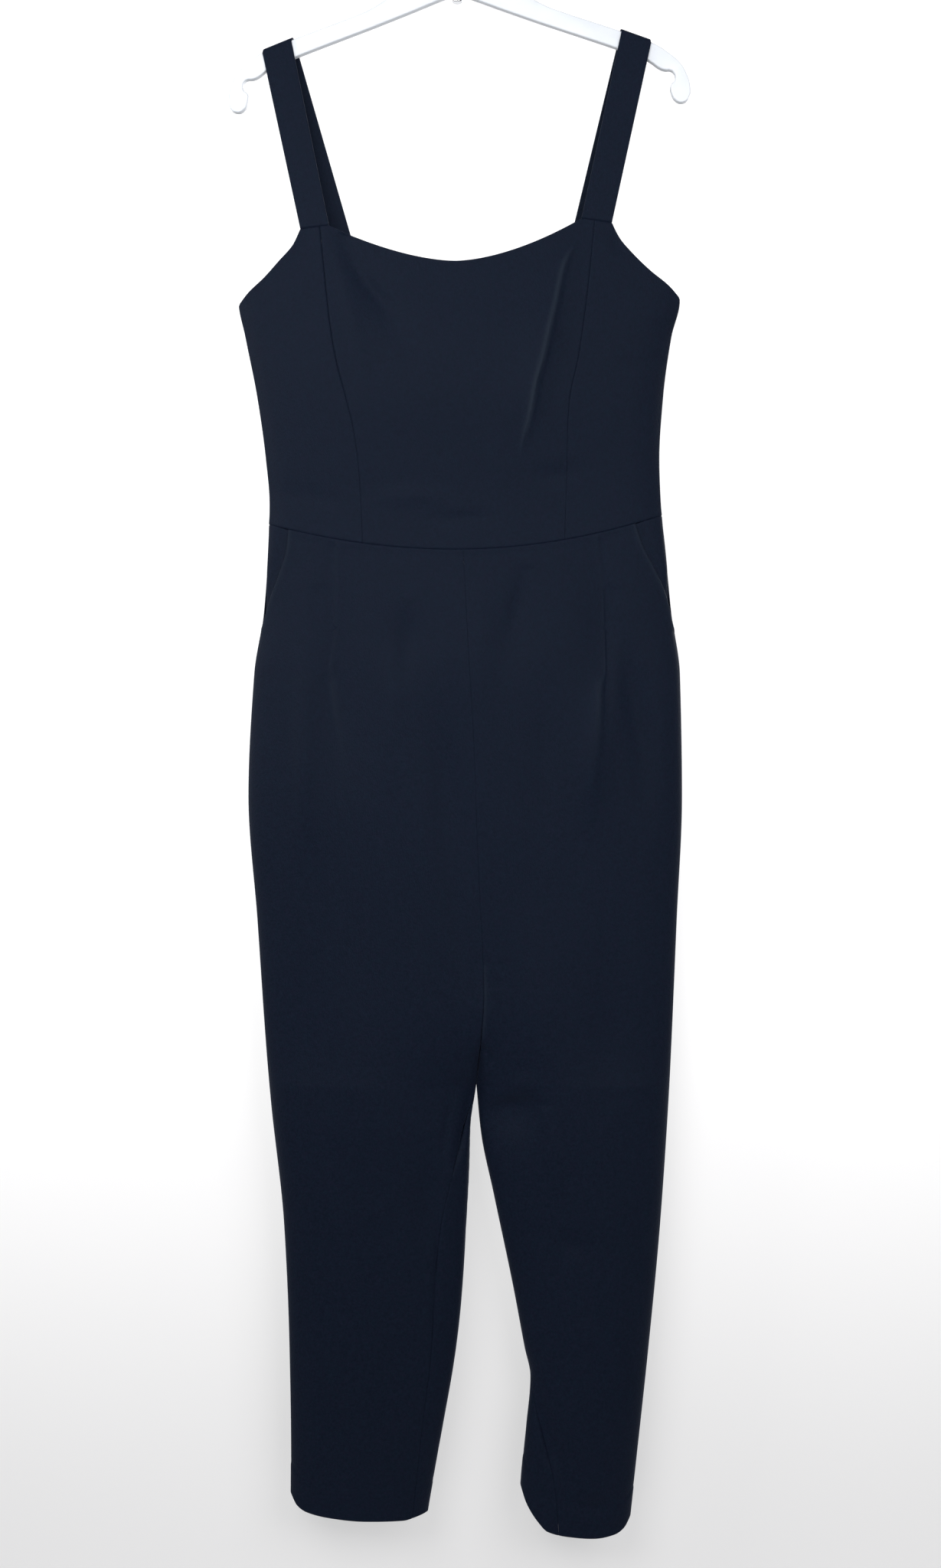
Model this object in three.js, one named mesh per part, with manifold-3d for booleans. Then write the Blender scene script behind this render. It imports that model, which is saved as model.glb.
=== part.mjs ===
// A sleeveless crepe jumpsuit with wide straps, hanging on a white plastic hanger.
// Millimetres, +Z up. The garment's front faces -Y, and +X is the wearer's left, so
// it is on the right hand of someone who looks at the front. The origin is the
// inside of the hook's crown, where a rail holds the hanger, so everything is below it.
import * as THREE from 'three';
import { mergeVertices } from 'three/addons/utils/BufferGeometryUtils.js';
import Module from 'manifold-3d';

const wasm = await Module();
wasm.setup();

// Cloth and seams
const CLOTH = 1.5;
const STRAP_CLOTH = 2;
const HEM_CLOTH = 2.6;
const SEAM_GAP = 0.4;
const LEVEL_GAP = 0.3;
const HEM_HEIGHT = 29;
const FRONT = -1;
const BACK = 1;
const RIGHT = -1;
const LEFT = 1;

// The garment's side edges and half depths, from the strap bases down to the hems
const OUTLINE = [
  { z: -300, right: -206, left: 213.5, front: 21, back: 19 },
  { z: -377, right: -206, left: 213.5, front: 27, back: 24 },
  { z: -411, right: -199.5, left: 205.5, front: 30, back: 26 },
  { z: -469, right: -188, left: 197.5, front: 32, back: 27 },
  { z: -527, right: -180, left: 194, front: 29, back: 26 },
  { z: -570, right: -176.5, left: 195.5, front: 27, back: 26 },
  { z: -615, right: -178, left: 200, front: 28, back: 27 },
  { z: -673, right: -182, left: 205.5, front: 31, back: 29 },
  { z: -731, right: -191, left: 213.5, front: 34, back: 32 },
  { z: -847, right: -196.5, left: 215.5, front: 35, back: 33 },
  { z: -964, right: -188, left: 210.5, front: 33, back: 31 },
  { z: -1080, right: -180, left: 205.5, front: 30, back: 28 },
  { z: -1138, right: -175, left: 202.5, front: 28, back: 27 },
  { z: -1255, right: -162.5, left: 194.5, front: 28, back: 27 },
  { z: -1371, right: -157.5, left: 183.5, front: 28, back: 27 },
  { z: -1473, right: -156, left: 172.5, front: 28, back: 27 },
  { z: -1550, right: -156.5, left: 164, front: 28, back: 27 },
];

// The legs below the crotch. seam is where the inseam lies, as a share of the way
// over the leg's front from its outer edge, and it is 1 on the leg's inner edge.
const LEG_RIGHT = [
  { z: -1121, inner: 20, depth: 27, seam: 1 },
  { z: -1161, inner: 14.5, depth: 26, seam: 0.88 },
  { z: -1198, inner: 13.5, depth: 24.5, seam: 0.82 },
  { z: -1255, inner: 10.5, depth: 23, seam: 0.755 },
  { z: -1313, inner: 7, depth: 21.5, seam: 0.737 },
  { z: -1371, inner: 1, depth: 20.5, seam: 0.748 },
  { z: -1444, inner: -11.5, depth: 19.5, seam: 0.76 },
  { z: -1502, inner: -22, depth: 18.5, seam: 0.778 },
  { z: -1550, inner: -30, depth: 18, seam: 0.795 },
];
const LEG_LEFT = [
  { z: -1121, inner: 20, depth: 27, seam: 1 },
  { z: -1167, inner: 24.5, depth: 26, seam: 1 },
  { z: -1225, inner: 36.5, depth: 24, seam: 1 },
  { z: -1313, inner: 55, depth: 22, seam: 1 },
  { z: -1371, inner: 66, depth: 21, seam: 0.99 },
  { z: -1398, inner: 71.5, depth: 20.5, seam: 0.95 },
  { z: -1444, inner: 67.5, depth: 19.5, seam: 0.77 },
  { z: -1502, inner: 62, depth: 18.5, seam: 0.63 },
  { z: -1550, inner: 60, depth: 18, seam: 0.585 },
];

// The seam from the waist to the crotch, in front and behind
const CENTRE_SEAM = [
  { z: -612, x: 7.5 },
  { z: -709, x: 12.5 },
  { z: -804, x: 18 },
  { z: -905, x: 21.5 },
  { z: -1034, x: 27 },
  { z: -1080, x: 24 },
  { z: -1121, x: 20 },
];
const CROTCH = -1121;
const CROTCH_START = -1030;
const TOP = OUTLINE[0].z;
const BOTTOM = OUTLINE[OUTLINE.length - 1].z;

// The princess seams of the bodice's front
const PRINCESS = [
  { z: -306, right: -128, left: 131.5 },
  { z: -360, right: -122.5, left: 126 },
  { z: -400, right: -118, left: 121 },
  { z: -436, right: -112, left: 115.5 },
  { z: -475, right: -102, left: 107.5 },
  { z: -505, right: -95, left: 105.7 },
  { z: -545, right: -90, left: 105 },
  { z: -604, right: -87, left: 103 },
];

// How far an armhole has moved outwards from the strap, by the share of its height
const ARMHOLE = [
  { share: 0, right: 0, left: 0 },
  { share: 0.22, right: 7.2, left: 8 },
  { share: 0.43, right: 20.6, left: 20.6 },
  { share: 0.65, right: 34.9, left: 36.9 },
  { share: 0.84, right: 50.1, left: 54.4 },
  { share: 1, right: 60, left: 65.5 },
];
const UNDERARM_SHARE = 0.25;
const BACK_UNDERARM_SHARE = 0.235;

// The waist seam and the necklines are curves that rise from their lowest points
const WAIST = { low: -611.8, riseRight: 22, edgeRight: 176, riseLeft: 30.5, edgeLeft: 195.5, power: 2 };
const NECK_FRONT = { low: -339, riseRight: 29.9, edgeRight: 119, riseLeft: 36.4, edgeLeft: 119, power: 1.7 };
const NECK_BACK = { low: -352, riseRight: 35.6, edgeRight: 98.5, riseLeft: 42.9, edgeLeft: 111.5, power: 2.6 };

// Where each strap leaves the bodice, and where it lies on the hanger's arm
const STRAP_RIGHT = {
  frontBase: { outer: [-146.2, -312], inner: [-119, -309.1] },
  backBase: { outer: [-126.2, -317.8], inner: [-98.5, -316.4] },
  frontTop: { outer: -182.9, inner: -155.3 },
  backTop: { outer: -180, inner: -152.4 },
};
const STRAP_LEFT = {
  frontBase: { outer: [148, -306.2], inner: [119, -302.6] },
  backBase: { outer: [139.3, -310.6], inner: [111.5, -309.1] },
  frontTop: { outer: 185.8, inner: 157.5 },
  backTop: { outer: 184.8, inner: 156.5 },
};

// The slant pocket mouths, from the waist seam to the side seam
const POCKET_BOTTOM = -690;
const POCKET_RIGHT = [
  { z: -592, x: -157 },
  { z: -615, x: -159.5 },
  { z: -635, x: -165.5 },
  { z: -657, x: -174 },
  { z: POCKET_BOTTOM, x: -184.2 },
];
const POCKET_LEFT = [
  { z: -586, x: 172.5 },
  { z: -611, x: 180.7 },
  { z: -631, x: 190.5 },
  { z: -655, x: 200.5 },
  { z: POCKET_BOTTOM, x: 207.9 },
];
const POCKET_UNDERLAP = 15;
const POCKET_DEPTH = 2.2;
const POCKET_BLEND = 14;
const POCKET_TAIL = 12;
const POCKET_BLEND_START = 1;

// The hems, by the share of the leg's width from its outer edge
const HEM_RIGHT = [
  { share: 0, z: -1508 },
  { share: 0.05, z: -1519 },
  { share: 0.12, z: -1524 },
  { share: 0.28, z: -1528 },
  { share: 0.55, z: -1531 },
  { share: 0.83, z: -1531.5 },
  { share: 0.92, z: -1529 },
  { share: 1, z: -1526 },
];
const HEM_LEFT = [
  { share: 0, z: -1530 },
  { share: 0.05, z: -1540 },
  { share: 0.13, z: -1545 },
  { share: 0.3, z: -1547.5 },
  { share: 0.55, z: -1545.5 },
  { share: 0.74, z: -1541.5 },
  { share: 0.84, z: -1532 },
  { share: 0.94, z: -1517 },
  { share: 1, z: -1501 },
];

// Folds: soft ridges, and troughs where height is negative, that run down or across
// the cloth through three points. low and high are their half widths on the side of
// the smaller and the larger x, or of the smaller and the larger z where they run
// across. A fold with a head of 1 starts at full height, at a seam.
const FRONT_FOLDS = [
  { run: 'down', from: [113, -322], via: [82, -436], to: [60, -530], low: 26, high: 12, height: 4, head: 0 },
  { run: 'down', from: [-106, -318], via: [-71, -381], to: [-40, -450], low: 18, high: 18, height: -3, head: 0.4 },
  { run: 'down', from: [-114, -602], via: [-116, -720], to: [-105, -850], low: 9, high: 26, height: -5, head: 1 },
  { run: 'down', from: [-147, -690], via: [-146, -800], to: [-142, -950], low: 16, high: 16, height: 4, head: 0 },
  { run: 'down', from: [135, -600], via: [141, -680], to: [138, -770], low: 22, high: 9, height: -5, head: 1 },
  { run: 'down', from: [138, -715], via: [133, -790], to: [128, -900], low: 18, high: 14, height: 4, head: 0 },
  { run: 'down', from: [152, -665], via: [172, -760], to: [185, -905], low: 16, high: 16, height: -5, head: 0 },
  { run: 'down', from: [-26, -710], via: [-13, -850], to: [2, -1010], low: 22, high: 22, height: -4, head: 0 },
  { run: 'down', from: [-46, -650], via: [-47, -694], to: [-45, -760], low: 20, high: 20, height: -2.5, head: 0 },
  { run: 'down', from: [70, -620], via: [62, -670], to: [52, -760], low: 20, high: 20, height: -2.5, head: 0 },
  { run: 'down', from: [95, -900], via: [92, -1050], to: [100, -1230], low: 30, high: 30, height: 3, head: 0 },
  { run: 'down', from: [-85, -950], via: [-80, -1120], to: [-78, -1300], low: 30, high: 30, height: 3, head: 0 },
  { run: 'across', from: [26, -1141], via: [56, -1128], to: [110, -1133], low: 12, high: 12, height: -5, head: 0.6 },
  { run: 'down', from: [80, -1400], via: [88, -1448], to: [103, -1545], low: 9, high: 16, height: -4, head: 0 },
];
const BACK_FOLDS = [
  { run: 'down', from: [-60, -400], via: [-52, -480], to: [-48, -570], low: 24, high: 24, height: -3, head: 0 },
  { run: 'down', from: [80, -400], via: [70, -480], to: [64, -570], low: 24, high: 24, height: -3, head: 0 },
  { run: 'down', from: [-92, -602], via: [-90, -660], to: [-86, -740], low: 14, high: 22, height: -4, head: 1 },
  { run: 'down', from: [110, -600], via: [108, -660], to: [104, -740], low: 22, high: 14, height: -4, head: 1 },
  { run: 'down', from: [-30, -780], via: [-18, -900], to: [6, -1060], low: 24, high: 24, height: -4, head: 0 },
  { run: 'down', from: [84, -790], via: [66, -910], to: [38, -1060], low: 24, high: 24, height: -4, head: 0 },
  { run: 'down', from: [-90, -980], via: [-86, -1140], to: [-84, -1330], low: 28, high: 28, height: 3, head: 0 },
  { run: 'down', from: [110, -980], via: [114, -1140], to: [122, -1330], low: 28, high: 28, height: 3, head: 0 },
];

// The hanger: half of its outline from the lower middle to the end and back over
// the top, in its own upright frame, and the tilt it hangs at
const HANGER_TILT = THREE.MathUtils.degToRad(1.3);
const HANGER_THICK = 8;
const HANGER_BEVEL = 1.6;
const HANGER_LOWER = [
  [6, -87.5], [16, -91], [40, -100.5], [80, -115.5],
  [118, -129], [150, -140.5], [180, -152], [193, -163.5],
];
const HANGER_NOTCH = [[203.5, -161.5], [206.5, -173], [199.5, -175.5]];
const HANGER_TIP = [[201, -186], [205, -192.5], [212, -194.5], [218.5, -190], [220, -179], [216, -165]];
const HANGER_UPPER = [[209, -153.5], [188, -137.5], [150, -123], [100, -105.5], [82, -98.5], [68, -89.5]];
const HANGER_HUB = [[50, -76], [33, -65], [20, -58.5], [10, -56]];
const ARM_INNER = [150, -123];
const ARM_OUTER = [188, -137.5];
const HUB_BOTTOM = -87.5;
const HUB_TOP = -56;
const HOOK_WIRE = 3.8;
const HOOK_BORE = 4.6;
const HOOK_RADIUS = 21;
const HOOK_HEAD = { radius: 4.6, height: 5.5 };
const HOOK_STEM = [[0, -70], [0, -56], [3, -47], [12, -39]];
const HOOK_BEND_DEGREES = [-30, 0, 30, 60, 90, 120, 150, 180, 205];
const HOOK_SIDES = 10;
const HOOK_STEPS = 40;
const POST_SIDES = 16;
const BORE_RUNOUT = 5;

// Mesh steps across and down each panel
const COLUMNS = { centre: 12, side: 7, back: 14, trouserFront: 12, trouserBack: 10, strap: 3, pocket: 4 };
const BODICE_SHARES = [0, 0.05, 0.1, 0.15, 0.195, 0.228, 0.25, 0.3, 0.37, 0.46, 0.56, 0.67, 0.78, 0.9, 1];
const BACK_SHARES = [0, 0.06, 0.12, 0.17, 0.21, 0.235, 0.29, 0.37, 0.46, 0.56, 0.67, 0.78, 0.9, 1];
const UPPER_SHARES = [
  0, 0.04, 0.09, 0.14, 0.175, 0.2, 0.26, 0.34, 0.43, 0.52, 0.61, 0.7, 0.79, 0.86, 0.92, 0.96, 0.985, 1,
];
const LEG_SHARES = [0.05, 0.12, 0.2, 0.3, 0.41, 0.52, 0.62, 0.7, 0.78, 0.86, 0.92, 0.94, 0.97, 1];
const POCKET_SHARES = [0, 0.2, 0.4, 0.6, 0.75, 0.87, 1];
const STRAP_LEG_STEPS = 8;
const STRAP_TURN_STEPS = 4;
const SLOPE_STEP = 1e-3;
const EDGE_TURNS = 12;
const HALVINGS = 20;
const MERGE_DISTANCE = 1e-4;

const NAVY = new THREE.MeshStandardMaterial({
  color: 0x1b2130, roughness: 0.85, metalness: 0, side: THREE.DoubleSide,
});
const WHITE_PLASTIC = new THREE.MeshStandardMaterial({ color: 0xf2f3f2, roughness: 0.35, metalness: 0 });
const STEEL = new THREE.MeshStandardMaterial({ color: 0xb9bcc0, roughness: 0.25, metalness: 1 });

const clamp = THREE.MathUtils.clamp;
const lerp = THREE.MathUtils.lerp;

// A smooth value between the rows of a table that never overshoots them
function tableValue(rows, key, column, at) {
  const rising = rows[rows.length - 1][key] > rows[0][key];
  const ordered = rising ? rows : [...rows].reverse();
  const place = (i) => ordered[i][key];
  const value = (i) => ordered[i][column];
  const last = ordered.length - 1;
  if (at <= place(0)) return value(0);
  if (at >= place(last)) return value(last);
  let i = 0;
  while (at > place(i + 1)) i += 1;
  const slope = (j) => (value(j + 1) - value(j)) / (place(j + 1) - place(j));
  const tangent = (j) => {
    if (j === 0) return slope(0);
    if (j === last) return slope(last - 1);
    const before = slope(j - 1);
    const after = slope(j);
    return before * after <= 0 ? 0 : (2 * before * after) / (before + after);
  };
  const width = place(i + 1) - place(i);
  const t = (at - place(i)) / width;
  const bend = t * t * (3 - 2 * t);
  const lead = t * (1 - t) * (1 - t) * width * tangent(i);
  const trail = t * t * (t - 1) * width * tangent(i + 1);
  return lerp(value(i), value(i + 1), bend) + lead + trail;
}

const sideName = (side) => (side === RIGHT ? 'right' : 'left');
const edgeAt = (side, z) => tableValue(OUTLINE, 'z', sideName(side), z);
const centreSeamAt = (z) => tableValue(CENTRE_SEAM, 'z', 'x', z);
const legTable = (side) => (side === RIGHT ? LEG_RIGHT : LEG_LEFT);
const pocketTable = (side) => (side === RIGHT ? POCKET_RIGHT : POCKET_LEFT);
const hemTable = (side) => (side === RIGHT ? HEM_RIGHT : HEM_LEFT);
const princessAt = (side, z) => tableValue(PRINCESS, 'z', sideName(side), z);

function curveHeight(curve, x) {
  const rise = x < 0 ? curve.riseRight : curve.riseLeft;
  const edge = x < 0 ? curve.edgeRight : curve.edgeLeft;
  return curve.low + rise * (Math.abs(x) / edge) ** curve.power;
}

const waistAt = (x) => curveHeight(WAIST, x);

// How far a fold lifts the cloth at a place
function foldHeight(fold, x, z) {
  const down = fold.run === 'down';
  const along = down ? z : x;
  const axis = down ? 1 : 0;
  const t = (along - fold.from[axis]) / (fold.to[axis] - fold.from[axis]);
  if (t < 0 || t > 1) return 0;
  const other = 1 - axis;
  const middle = (fold.via[axis] - fold.from[axis]) / (fold.to[axis] - fold.from[axis]);
  const towards = fold.from[other] * (1 - t) + fold.to[other] * t;
  const straight = fold.from[other] * (1 - middle) + fold.to[other] * middle;
  const bow = (fold.via[other] - straight) / (middle * (1 - middle));
  const away = (down ? x : z) - (towards + bow * t * (1 - t));
  const width = away < 0 ? fold.low : fold.high;
  const rise = Math.sin(Math.PI * Math.min(t * 2, 1) / 2) ** 2;
  const fall = Math.cos(Math.PI * Math.max(t * 2 - 1, 0) / 2) ** 2;
  return fold.height * lerp(rise, 1, fold.head) * fall * Math.exp(-((away / width) ** 2));
}

const FOLD_WINDOW = 1.6;
function folds(side, x, z, shape) {
  const rows = side === FRONT ? FRONT_FOLDS : BACK_FOLDS;
  const sum = rows.reduce((total, fold) => total + foldHeight(fold, x, z), 0);
  return sum * Math.min(1, FOLD_WINDOW * shape);
}

// The y of the bodice's outer face: a flattened oval section with its folds
function bodiceY(side, x, z) {
  const right = edgeAt(RIGHT, z);
  const left = edgeAt(LEFT, z);
  const across = clamp((2 * x - right - left) / (left - right), -1, 1);
  const shape = Math.sqrt(1 - across * across);
  const depth = tableValue(OUTLINE, 'z', side === FRONT ? 'front' : 'back', z);
  return side * (depth * shape + folds(side, x, z, shape));
}

// How far a trouser section has parted into two legs, from 0 to 1 at the crotch
function partedAt(z) {
  const t = clamp((CROTCH_START - z) / (CROTCH_START - CROTCH), 0, 1);
  return 1 - Math.sqrt(1 - t * t);
}

const innerAt = (side, z) => (z > CROTCH ? centreSeamAt(z) : tableValue(legTable(side), 'z', 'inner', z));

// A place on the trousers' outer face. turn goes round one leg: 0 is its outer edge,
// 0 to 1 its front, 0 to -1 its back, and past -1 the back goes on round to the front.
function trouserPoint(side, turn, z) {
  const wrapped = turn < -1 ? turn + 2 : turn;
  const face = wrapped > 0 ? FRONT : BACK;
  const outer = edgeAt(side, z);
  const inner = innerAt(side, z);
  const x = lerp(outer, inner, (1 - Math.cos(Math.PI * wrapped)) / 2);
  const legShape = Math.abs(Math.sin(Math.PI * wrapped));
  const right = edgeAt(RIGHT, z);
  const left = edgeAt(LEFT, z);
  const across = clamp((2 * x - right - left) / (left - right), -1, 1);
  const bodyShape = Math.sqrt(1 - across * across);
  const parted = partedAt(z);
  const bodyDepth = tableValue(OUTLINE, 'z', face === FRONT ? 'front' : 'back', z);
  const legDepth = tableValue(legTable(side), 'z', 'depth', z);
  const shape = lerp(bodyShape, legShape, parted);
  const depth = lerp(bodyDepth * bodyShape, legDepth * legShape, parted);
  return { x, y: face * (depth + folds(face, x, z, shape)) };
}

// The turn at which the trousers' outer face reaches an x on the front
function turnAt(side, x, z) {
  const outer = edgeAt(side, z);
  const share = clamp((x - outer) / (innerAt(side, z) - outer), 0, 1);
  return Math.acos(1 - 2 * share) / Math.PI;
}

const inseamTurn = (side, z) => (z > CROTCH ? 1 : tableValue(legTable(side), 'z', 'seam', z));

function pocketTurn(side, z) {
  if (z <= POCKET_BOTTOM) return 0;
  return turnAt(side, tableValue(pocketTable(side), 'z', 'x', z), z);
}

function hemAt(side, x, z) {
  const outer = edgeAt(side, z);
  const share = clamp((x - outer) / (innerAt(side, z) - outer), 0, 1);
  return tableValue(hemTable(side), 'share', 'z', share);
}

// A closed wall from a grid of outer and inner points
function wallGeometry(grid) {
  const rows = grid.length;
  const columns = grid[0].length;
  const positions = [];
  for (const layer of ['outer', 'inner']) {
    for (const row of grid) {
      for (const place of row) positions.push(place[layer].x, place[layer].y, place[layer].z);
    }
  }
  const outer = (j, i) => j * columns + i;
  const inner = (j, i) => rows * columns + outer(j, i);
  const index = [];
  const quad = (a, b, c, d) => index.push(a, b, c, a, c, d);
  for (let j = 0; j < rows - 1; j += 1) {
    for (let i = 0; i < columns - 1; i += 1) {
      quad(outer(j, i), outer(j + 1, i), outer(j + 1, i + 1), outer(j, i + 1));
      quad(inner(j, i), inner(j, i + 1), inner(j + 1, i + 1), inner(j + 1, i));
    }
    quad(outer(j, 0), inner(j, 0), inner(j + 1, 0), outer(j + 1, 0));
    const end = columns - 1;
    quad(outer(j, end), outer(j + 1, end), inner(j + 1, end), inner(j, end));
  }
  for (let i = 0; i < columns - 1; i += 1) {
    quad(outer(0, i), outer(0, i + 1), inner(0, i + 1), inner(0, i));
    const end = rows - 1;
    quad(outer(end, i), inner(end, i), inner(end, i + 1), outer(end, i + 1));
  }
  const geometry = new THREE.BufferGeometry();
  geometry.setAttribute('position', new THREE.Float32BufferAttribute(positions, 3));
  geometry.setIndex(volumeOf(positions, index) > 0 ? index : reversed(index));
  geometry.computeVertexNormals();
  return geometry;
}

function volumeOf(positions, index) {
  const corner = (i) => new THREE.Vector3().fromArray(positions, index[i] * 3);
  let volume = 0;
  for (let i = 0; i < index.length; i += 3) {
    volume += corner(i).dot(corner(i + 1).cross(corner(i + 2))) / 6;
  }
  return volume;
}

function reversed(index) {
  const turned = [];
  for (let i = 0; i < index.length; i += 3) turned.push(index[i], index[i + 2], index[i + 1]);
  return turned;
}

// One panel of cloth. at(u, z) is a place on its outer face, u going across it from
// 0 to 1, top(x, z) and bottom(x, z) are its edges, and inset(u, z) moves it inwards.
function panelWall({ at, top, bottom, shares, columns, thickness, inset = () => 0 }) {
  const edgeHeight = (edge, u, start) => {
    let z = start;
    for (let turn = 0; turn < EDGE_TURNS; turn += 1) z = edge(at(u, z).x, z);
    return z;
  };
  const tangentAt = (u, z) => {
    const low = at(Math.max(u - SLOPE_STEP, 0), z);
    const high = at(Math.min(u + SLOPE_STEP, 1), z);
    const step = Math.min(u + SLOPE_STEP, 1) - Math.max(u - SLOPE_STEP, 0);
    return new THREE.Vector2((high.x - low.x) / step, (high.y - low.y) / step);
  };
  const outwards = (u, z) => {
    const tangent = tangentAt(u, z);
    return new THREE.Vector3(tangent.y, -tangent.x, 0).normalize();
  };
  // The place along a row that lies half a seam's gap in from one of its ends
  const insetFrom = (end, z) => {
    const corner = at(end, z);
    let near = 0;
    let far = 1 / (2 * columns);
    for (let turn = 0; turn < HALVINGS; turn += 1) {
      const share = (near + far) / 2;
      const place = at(Math.abs(end - share), z);
      if (Math.hypot(place.x - corner.x, place.y - corner.y) < SEAM_GAP / 2) near = share;
      else far = share;
    }
    return Math.abs(end - far);
  };
  const low = edgeHeight(bottom, 0.5, BOTTOM);
  const facing = Math.sign(at(0.5, low).y) * Math.sign(outwards(0.5, low).y);
  const grid = shares.map((share) => {
    const line = [];
    for (let column = 0; column <= columns; column += 1) {
      const even = column / columns;
      const start = edgeHeight(top, even, TOP) - LEVEL_GAP / 2;
      const end = edgeHeight(bottom, even, BOTTOM) + LEVEL_GAP / 2;
      const z = lerp(start, end, share);
      const u = column === 0 || column === columns ? insetFrom(even, z) : even;
      const place = at(u, z);
      const normal = outwards(u, z).multiplyScalar(facing);
      const face = new THREE.Vector3(place.x, place.y, z).addScaledVector(normal, -inset(u, z));
      const lining = face.clone().addScaledVector(normal, -thickness(u, z));
      line.push({ outer: face, inner: lining });
    }
    return line;
  });
  return wallGeometry(grid);
}

function addMesh(group, name, geometry, material) {
  const mesh = new THREE.Mesh(geometry, material);
  mesh.name = name;
  group.add(mesh);
  return mesh;
}

// Spacing that is finer towards the first edge, where the cloth turns round the side
const finerFirst = (u) => 1 - Math.cos((Math.PI * u) / 2);
const finerBoth = (u) => (1 - Math.cos(Math.PI * u)) / 2;

const strapOf = (side) => (side === RIGHT ? STRAP_RIGHT : STRAP_LEFT);

// The bodice's upper edges: the strap's straight base, and the scoop between the straps
function bodiceTop(face, x) {
  const strap = strapOf(x < 0 ? RIGHT : LEFT);
  const base = face === FRONT ? strap.frontBase : strap.backBase;
  if (Math.abs(x) <= Math.abs(base.inner[0])) return curveHeight(face === FRONT ? NECK_FRONT : NECK_BACK, x);
  const share = (x - base.inner[0]) / (base.outer[0] - base.inner[0]);
  return lerp(base.inner[1], base.outer[1], clamp(share, 0, 1));
}

// The bodice's outer limit: its armhole, and below the underarm its side edge
function bodiceLimit(face, side, z) {
  const strap = strapOf(side);
  const base = face === FRONT ? strap.frontBase : strap.backBase;
  const share = face === FRONT ? UNDERARM_SHARE : BACK_UNDERARM_SHARE;
  const underarm = lerp(base.outer[1], waistAt(edgeAt(side, WAIST.low)), share);
  const t = (base.outer[1] - z) / (base.outer[1] - underarm);
  if (t >= 1) return edgeAt(side, z);
  const curve = (at) => tableValue(ARMHOLE, 'share', sideName(side), at);
  const reach = (edgeAt(side, underarm) - base.outer[0]) / curve(1);
  return base.outer[0] + curve(clamp(t, 0, 1)) * reach;
}

function bodiceCentre() {
  return panelWall({
    at: (u, z) => {
      const x = lerp(princessAt(RIGHT, z), princessAt(LEFT, z), u);
      return { x, y: bodiceY(FRONT, x, z) };
    },
    top: (x) => bodiceTop(FRONT, x),
    bottom: waistAt,
    shares: BODICE_SHARES,
    columns: COLUMNS.centre,
    thickness: () => CLOTH,
  });
}

function bodiceSide(side) {
  return panelWall({
    at: (u, z) => {
      const x = lerp(bodiceLimit(FRONT, side, z), princessAt(side, z), finerFirst(u));
      return { x, y: bodiceY(FRONT, x, z) };
    },
    top: (x) => bodiceTop(FRONT, x),
    bottom: waistAt,
    shares: BODICE_SHARES,
    columns: COLUMNS.side,
    thickness: () => CLOTH,
  });
}

function bodiceBack() {
  return panelWall({
    at: (u, z) => {
      const x = lerp(bodiceLimit(BACK, RIGHT, z), bodiceLimit(BACK, LEFT, z), finerBoth(u));
      return { x, y: bodiceY(BACK, x, z) };
    },
    top: (x) => bodiceTop(BACK, x),
    bottom: waistAt,
    shares: BACK_SHARES,
    columns: COLUMNS.back,
    thickness: () => CLOTH,
  });
}

// A trouser panel's steps down, with one row just at the crotch
function trouserShares(side) {
  const top = waistAt(centreSeamAt(WAIST.low));
  const hem = tableValue(hemTable(side), 'share', 'z', 1);
  const crotch = (top - CROTCH) / (top - hem);
  return [...UPPER_SHARES.map((share) => share * crotch), ...LEG_SHARES.map((share) => lerp(crotch, 1, share))];
}

// The cloth is turned up inside the hem
function hemThickness(side, turnOf) {
  return (u, z) => {
    const x = trouserPoint(side, turnOf(u, z), z).x;
    return z < hemAt(side, x, z) + HEM_HEIGHT ? HEM_CLOTH : CLOTH;
  };
}

function trouserPanel(side, turnOf, columns) {
  return panelWall({
    at: (u, z) => trouserPoint(side, turnOf(u, z), z),
    top: (x) => waistAt(x),
    bottom: (x, z) => hemAt(side, x, z),
    shares: trouserShares(side),
    columns,
    thickness: hemThickness(side, turnOf),
  });
}

function trouserFront(side) {
  const turnOf = (u, z) => lerp(pocketTurn(side, z), inseamTurn(side, z), u);
  return trouserPanel(side, turnOf, COLUMNS.trouserFront);
}

function trouserBack(side) {
  const turnOf = (u, z) => -u * (2 - inseamTurn(side, z));
  return trouserPanel(side, turnOf, COLUMNS.trouserBack);
}

// The hip panel under a pocket mouth. It lies behind the front's edge, and just past
// the mouth it starts to come out to the front's level.
function pocketPanel(side) {
  const mouthAt = (z) => tableValue(pocketTable(side), 'z', 'x', Math.max(z, POCKET_BOTTOM));
  const turnOf = (u, z) => u * turnAt(side, mouthAt(z) - side * POCKET_UNDERLAP, z);
  const inset = (u, z) => {
    const past = side * (trouserPoint(side, turnOf(u, z), z).x - mouthAt(z)) - POCKET_BLEND_START;
    const below = clamp((z - POCKET_BOTTOM) / POCKET_UNDERLAP, 0, 1);
    return POCKET_DEPTH * (1 - below * THREE.MathUtils.smoothstep(past, 0, POCKET_BLEND));
  };
  return panelWall({
    at: (u, z) => trouserPoint(side, turnOf(u, z), z),
    top: (x) => waistAt(x),
    bottom: () => POCKET_BOTTOM - POCKET_TAIL,
    shares: POCKET_SHARES,
    columns: COLUMNS.pocket,
    thickness: () => CLOTH,
    inset,
  });
}

// A place in the hanger's own frame, tilted as it hangs
function tilted([x, z]) {
  const cosine = Math.cos(HANGER_TILT);
  const sine = Math.sin(HANGER_TILT);
  return new THREE.Vector2(x * cosine - z * sine, x * sine + z * cosine);
}

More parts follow.
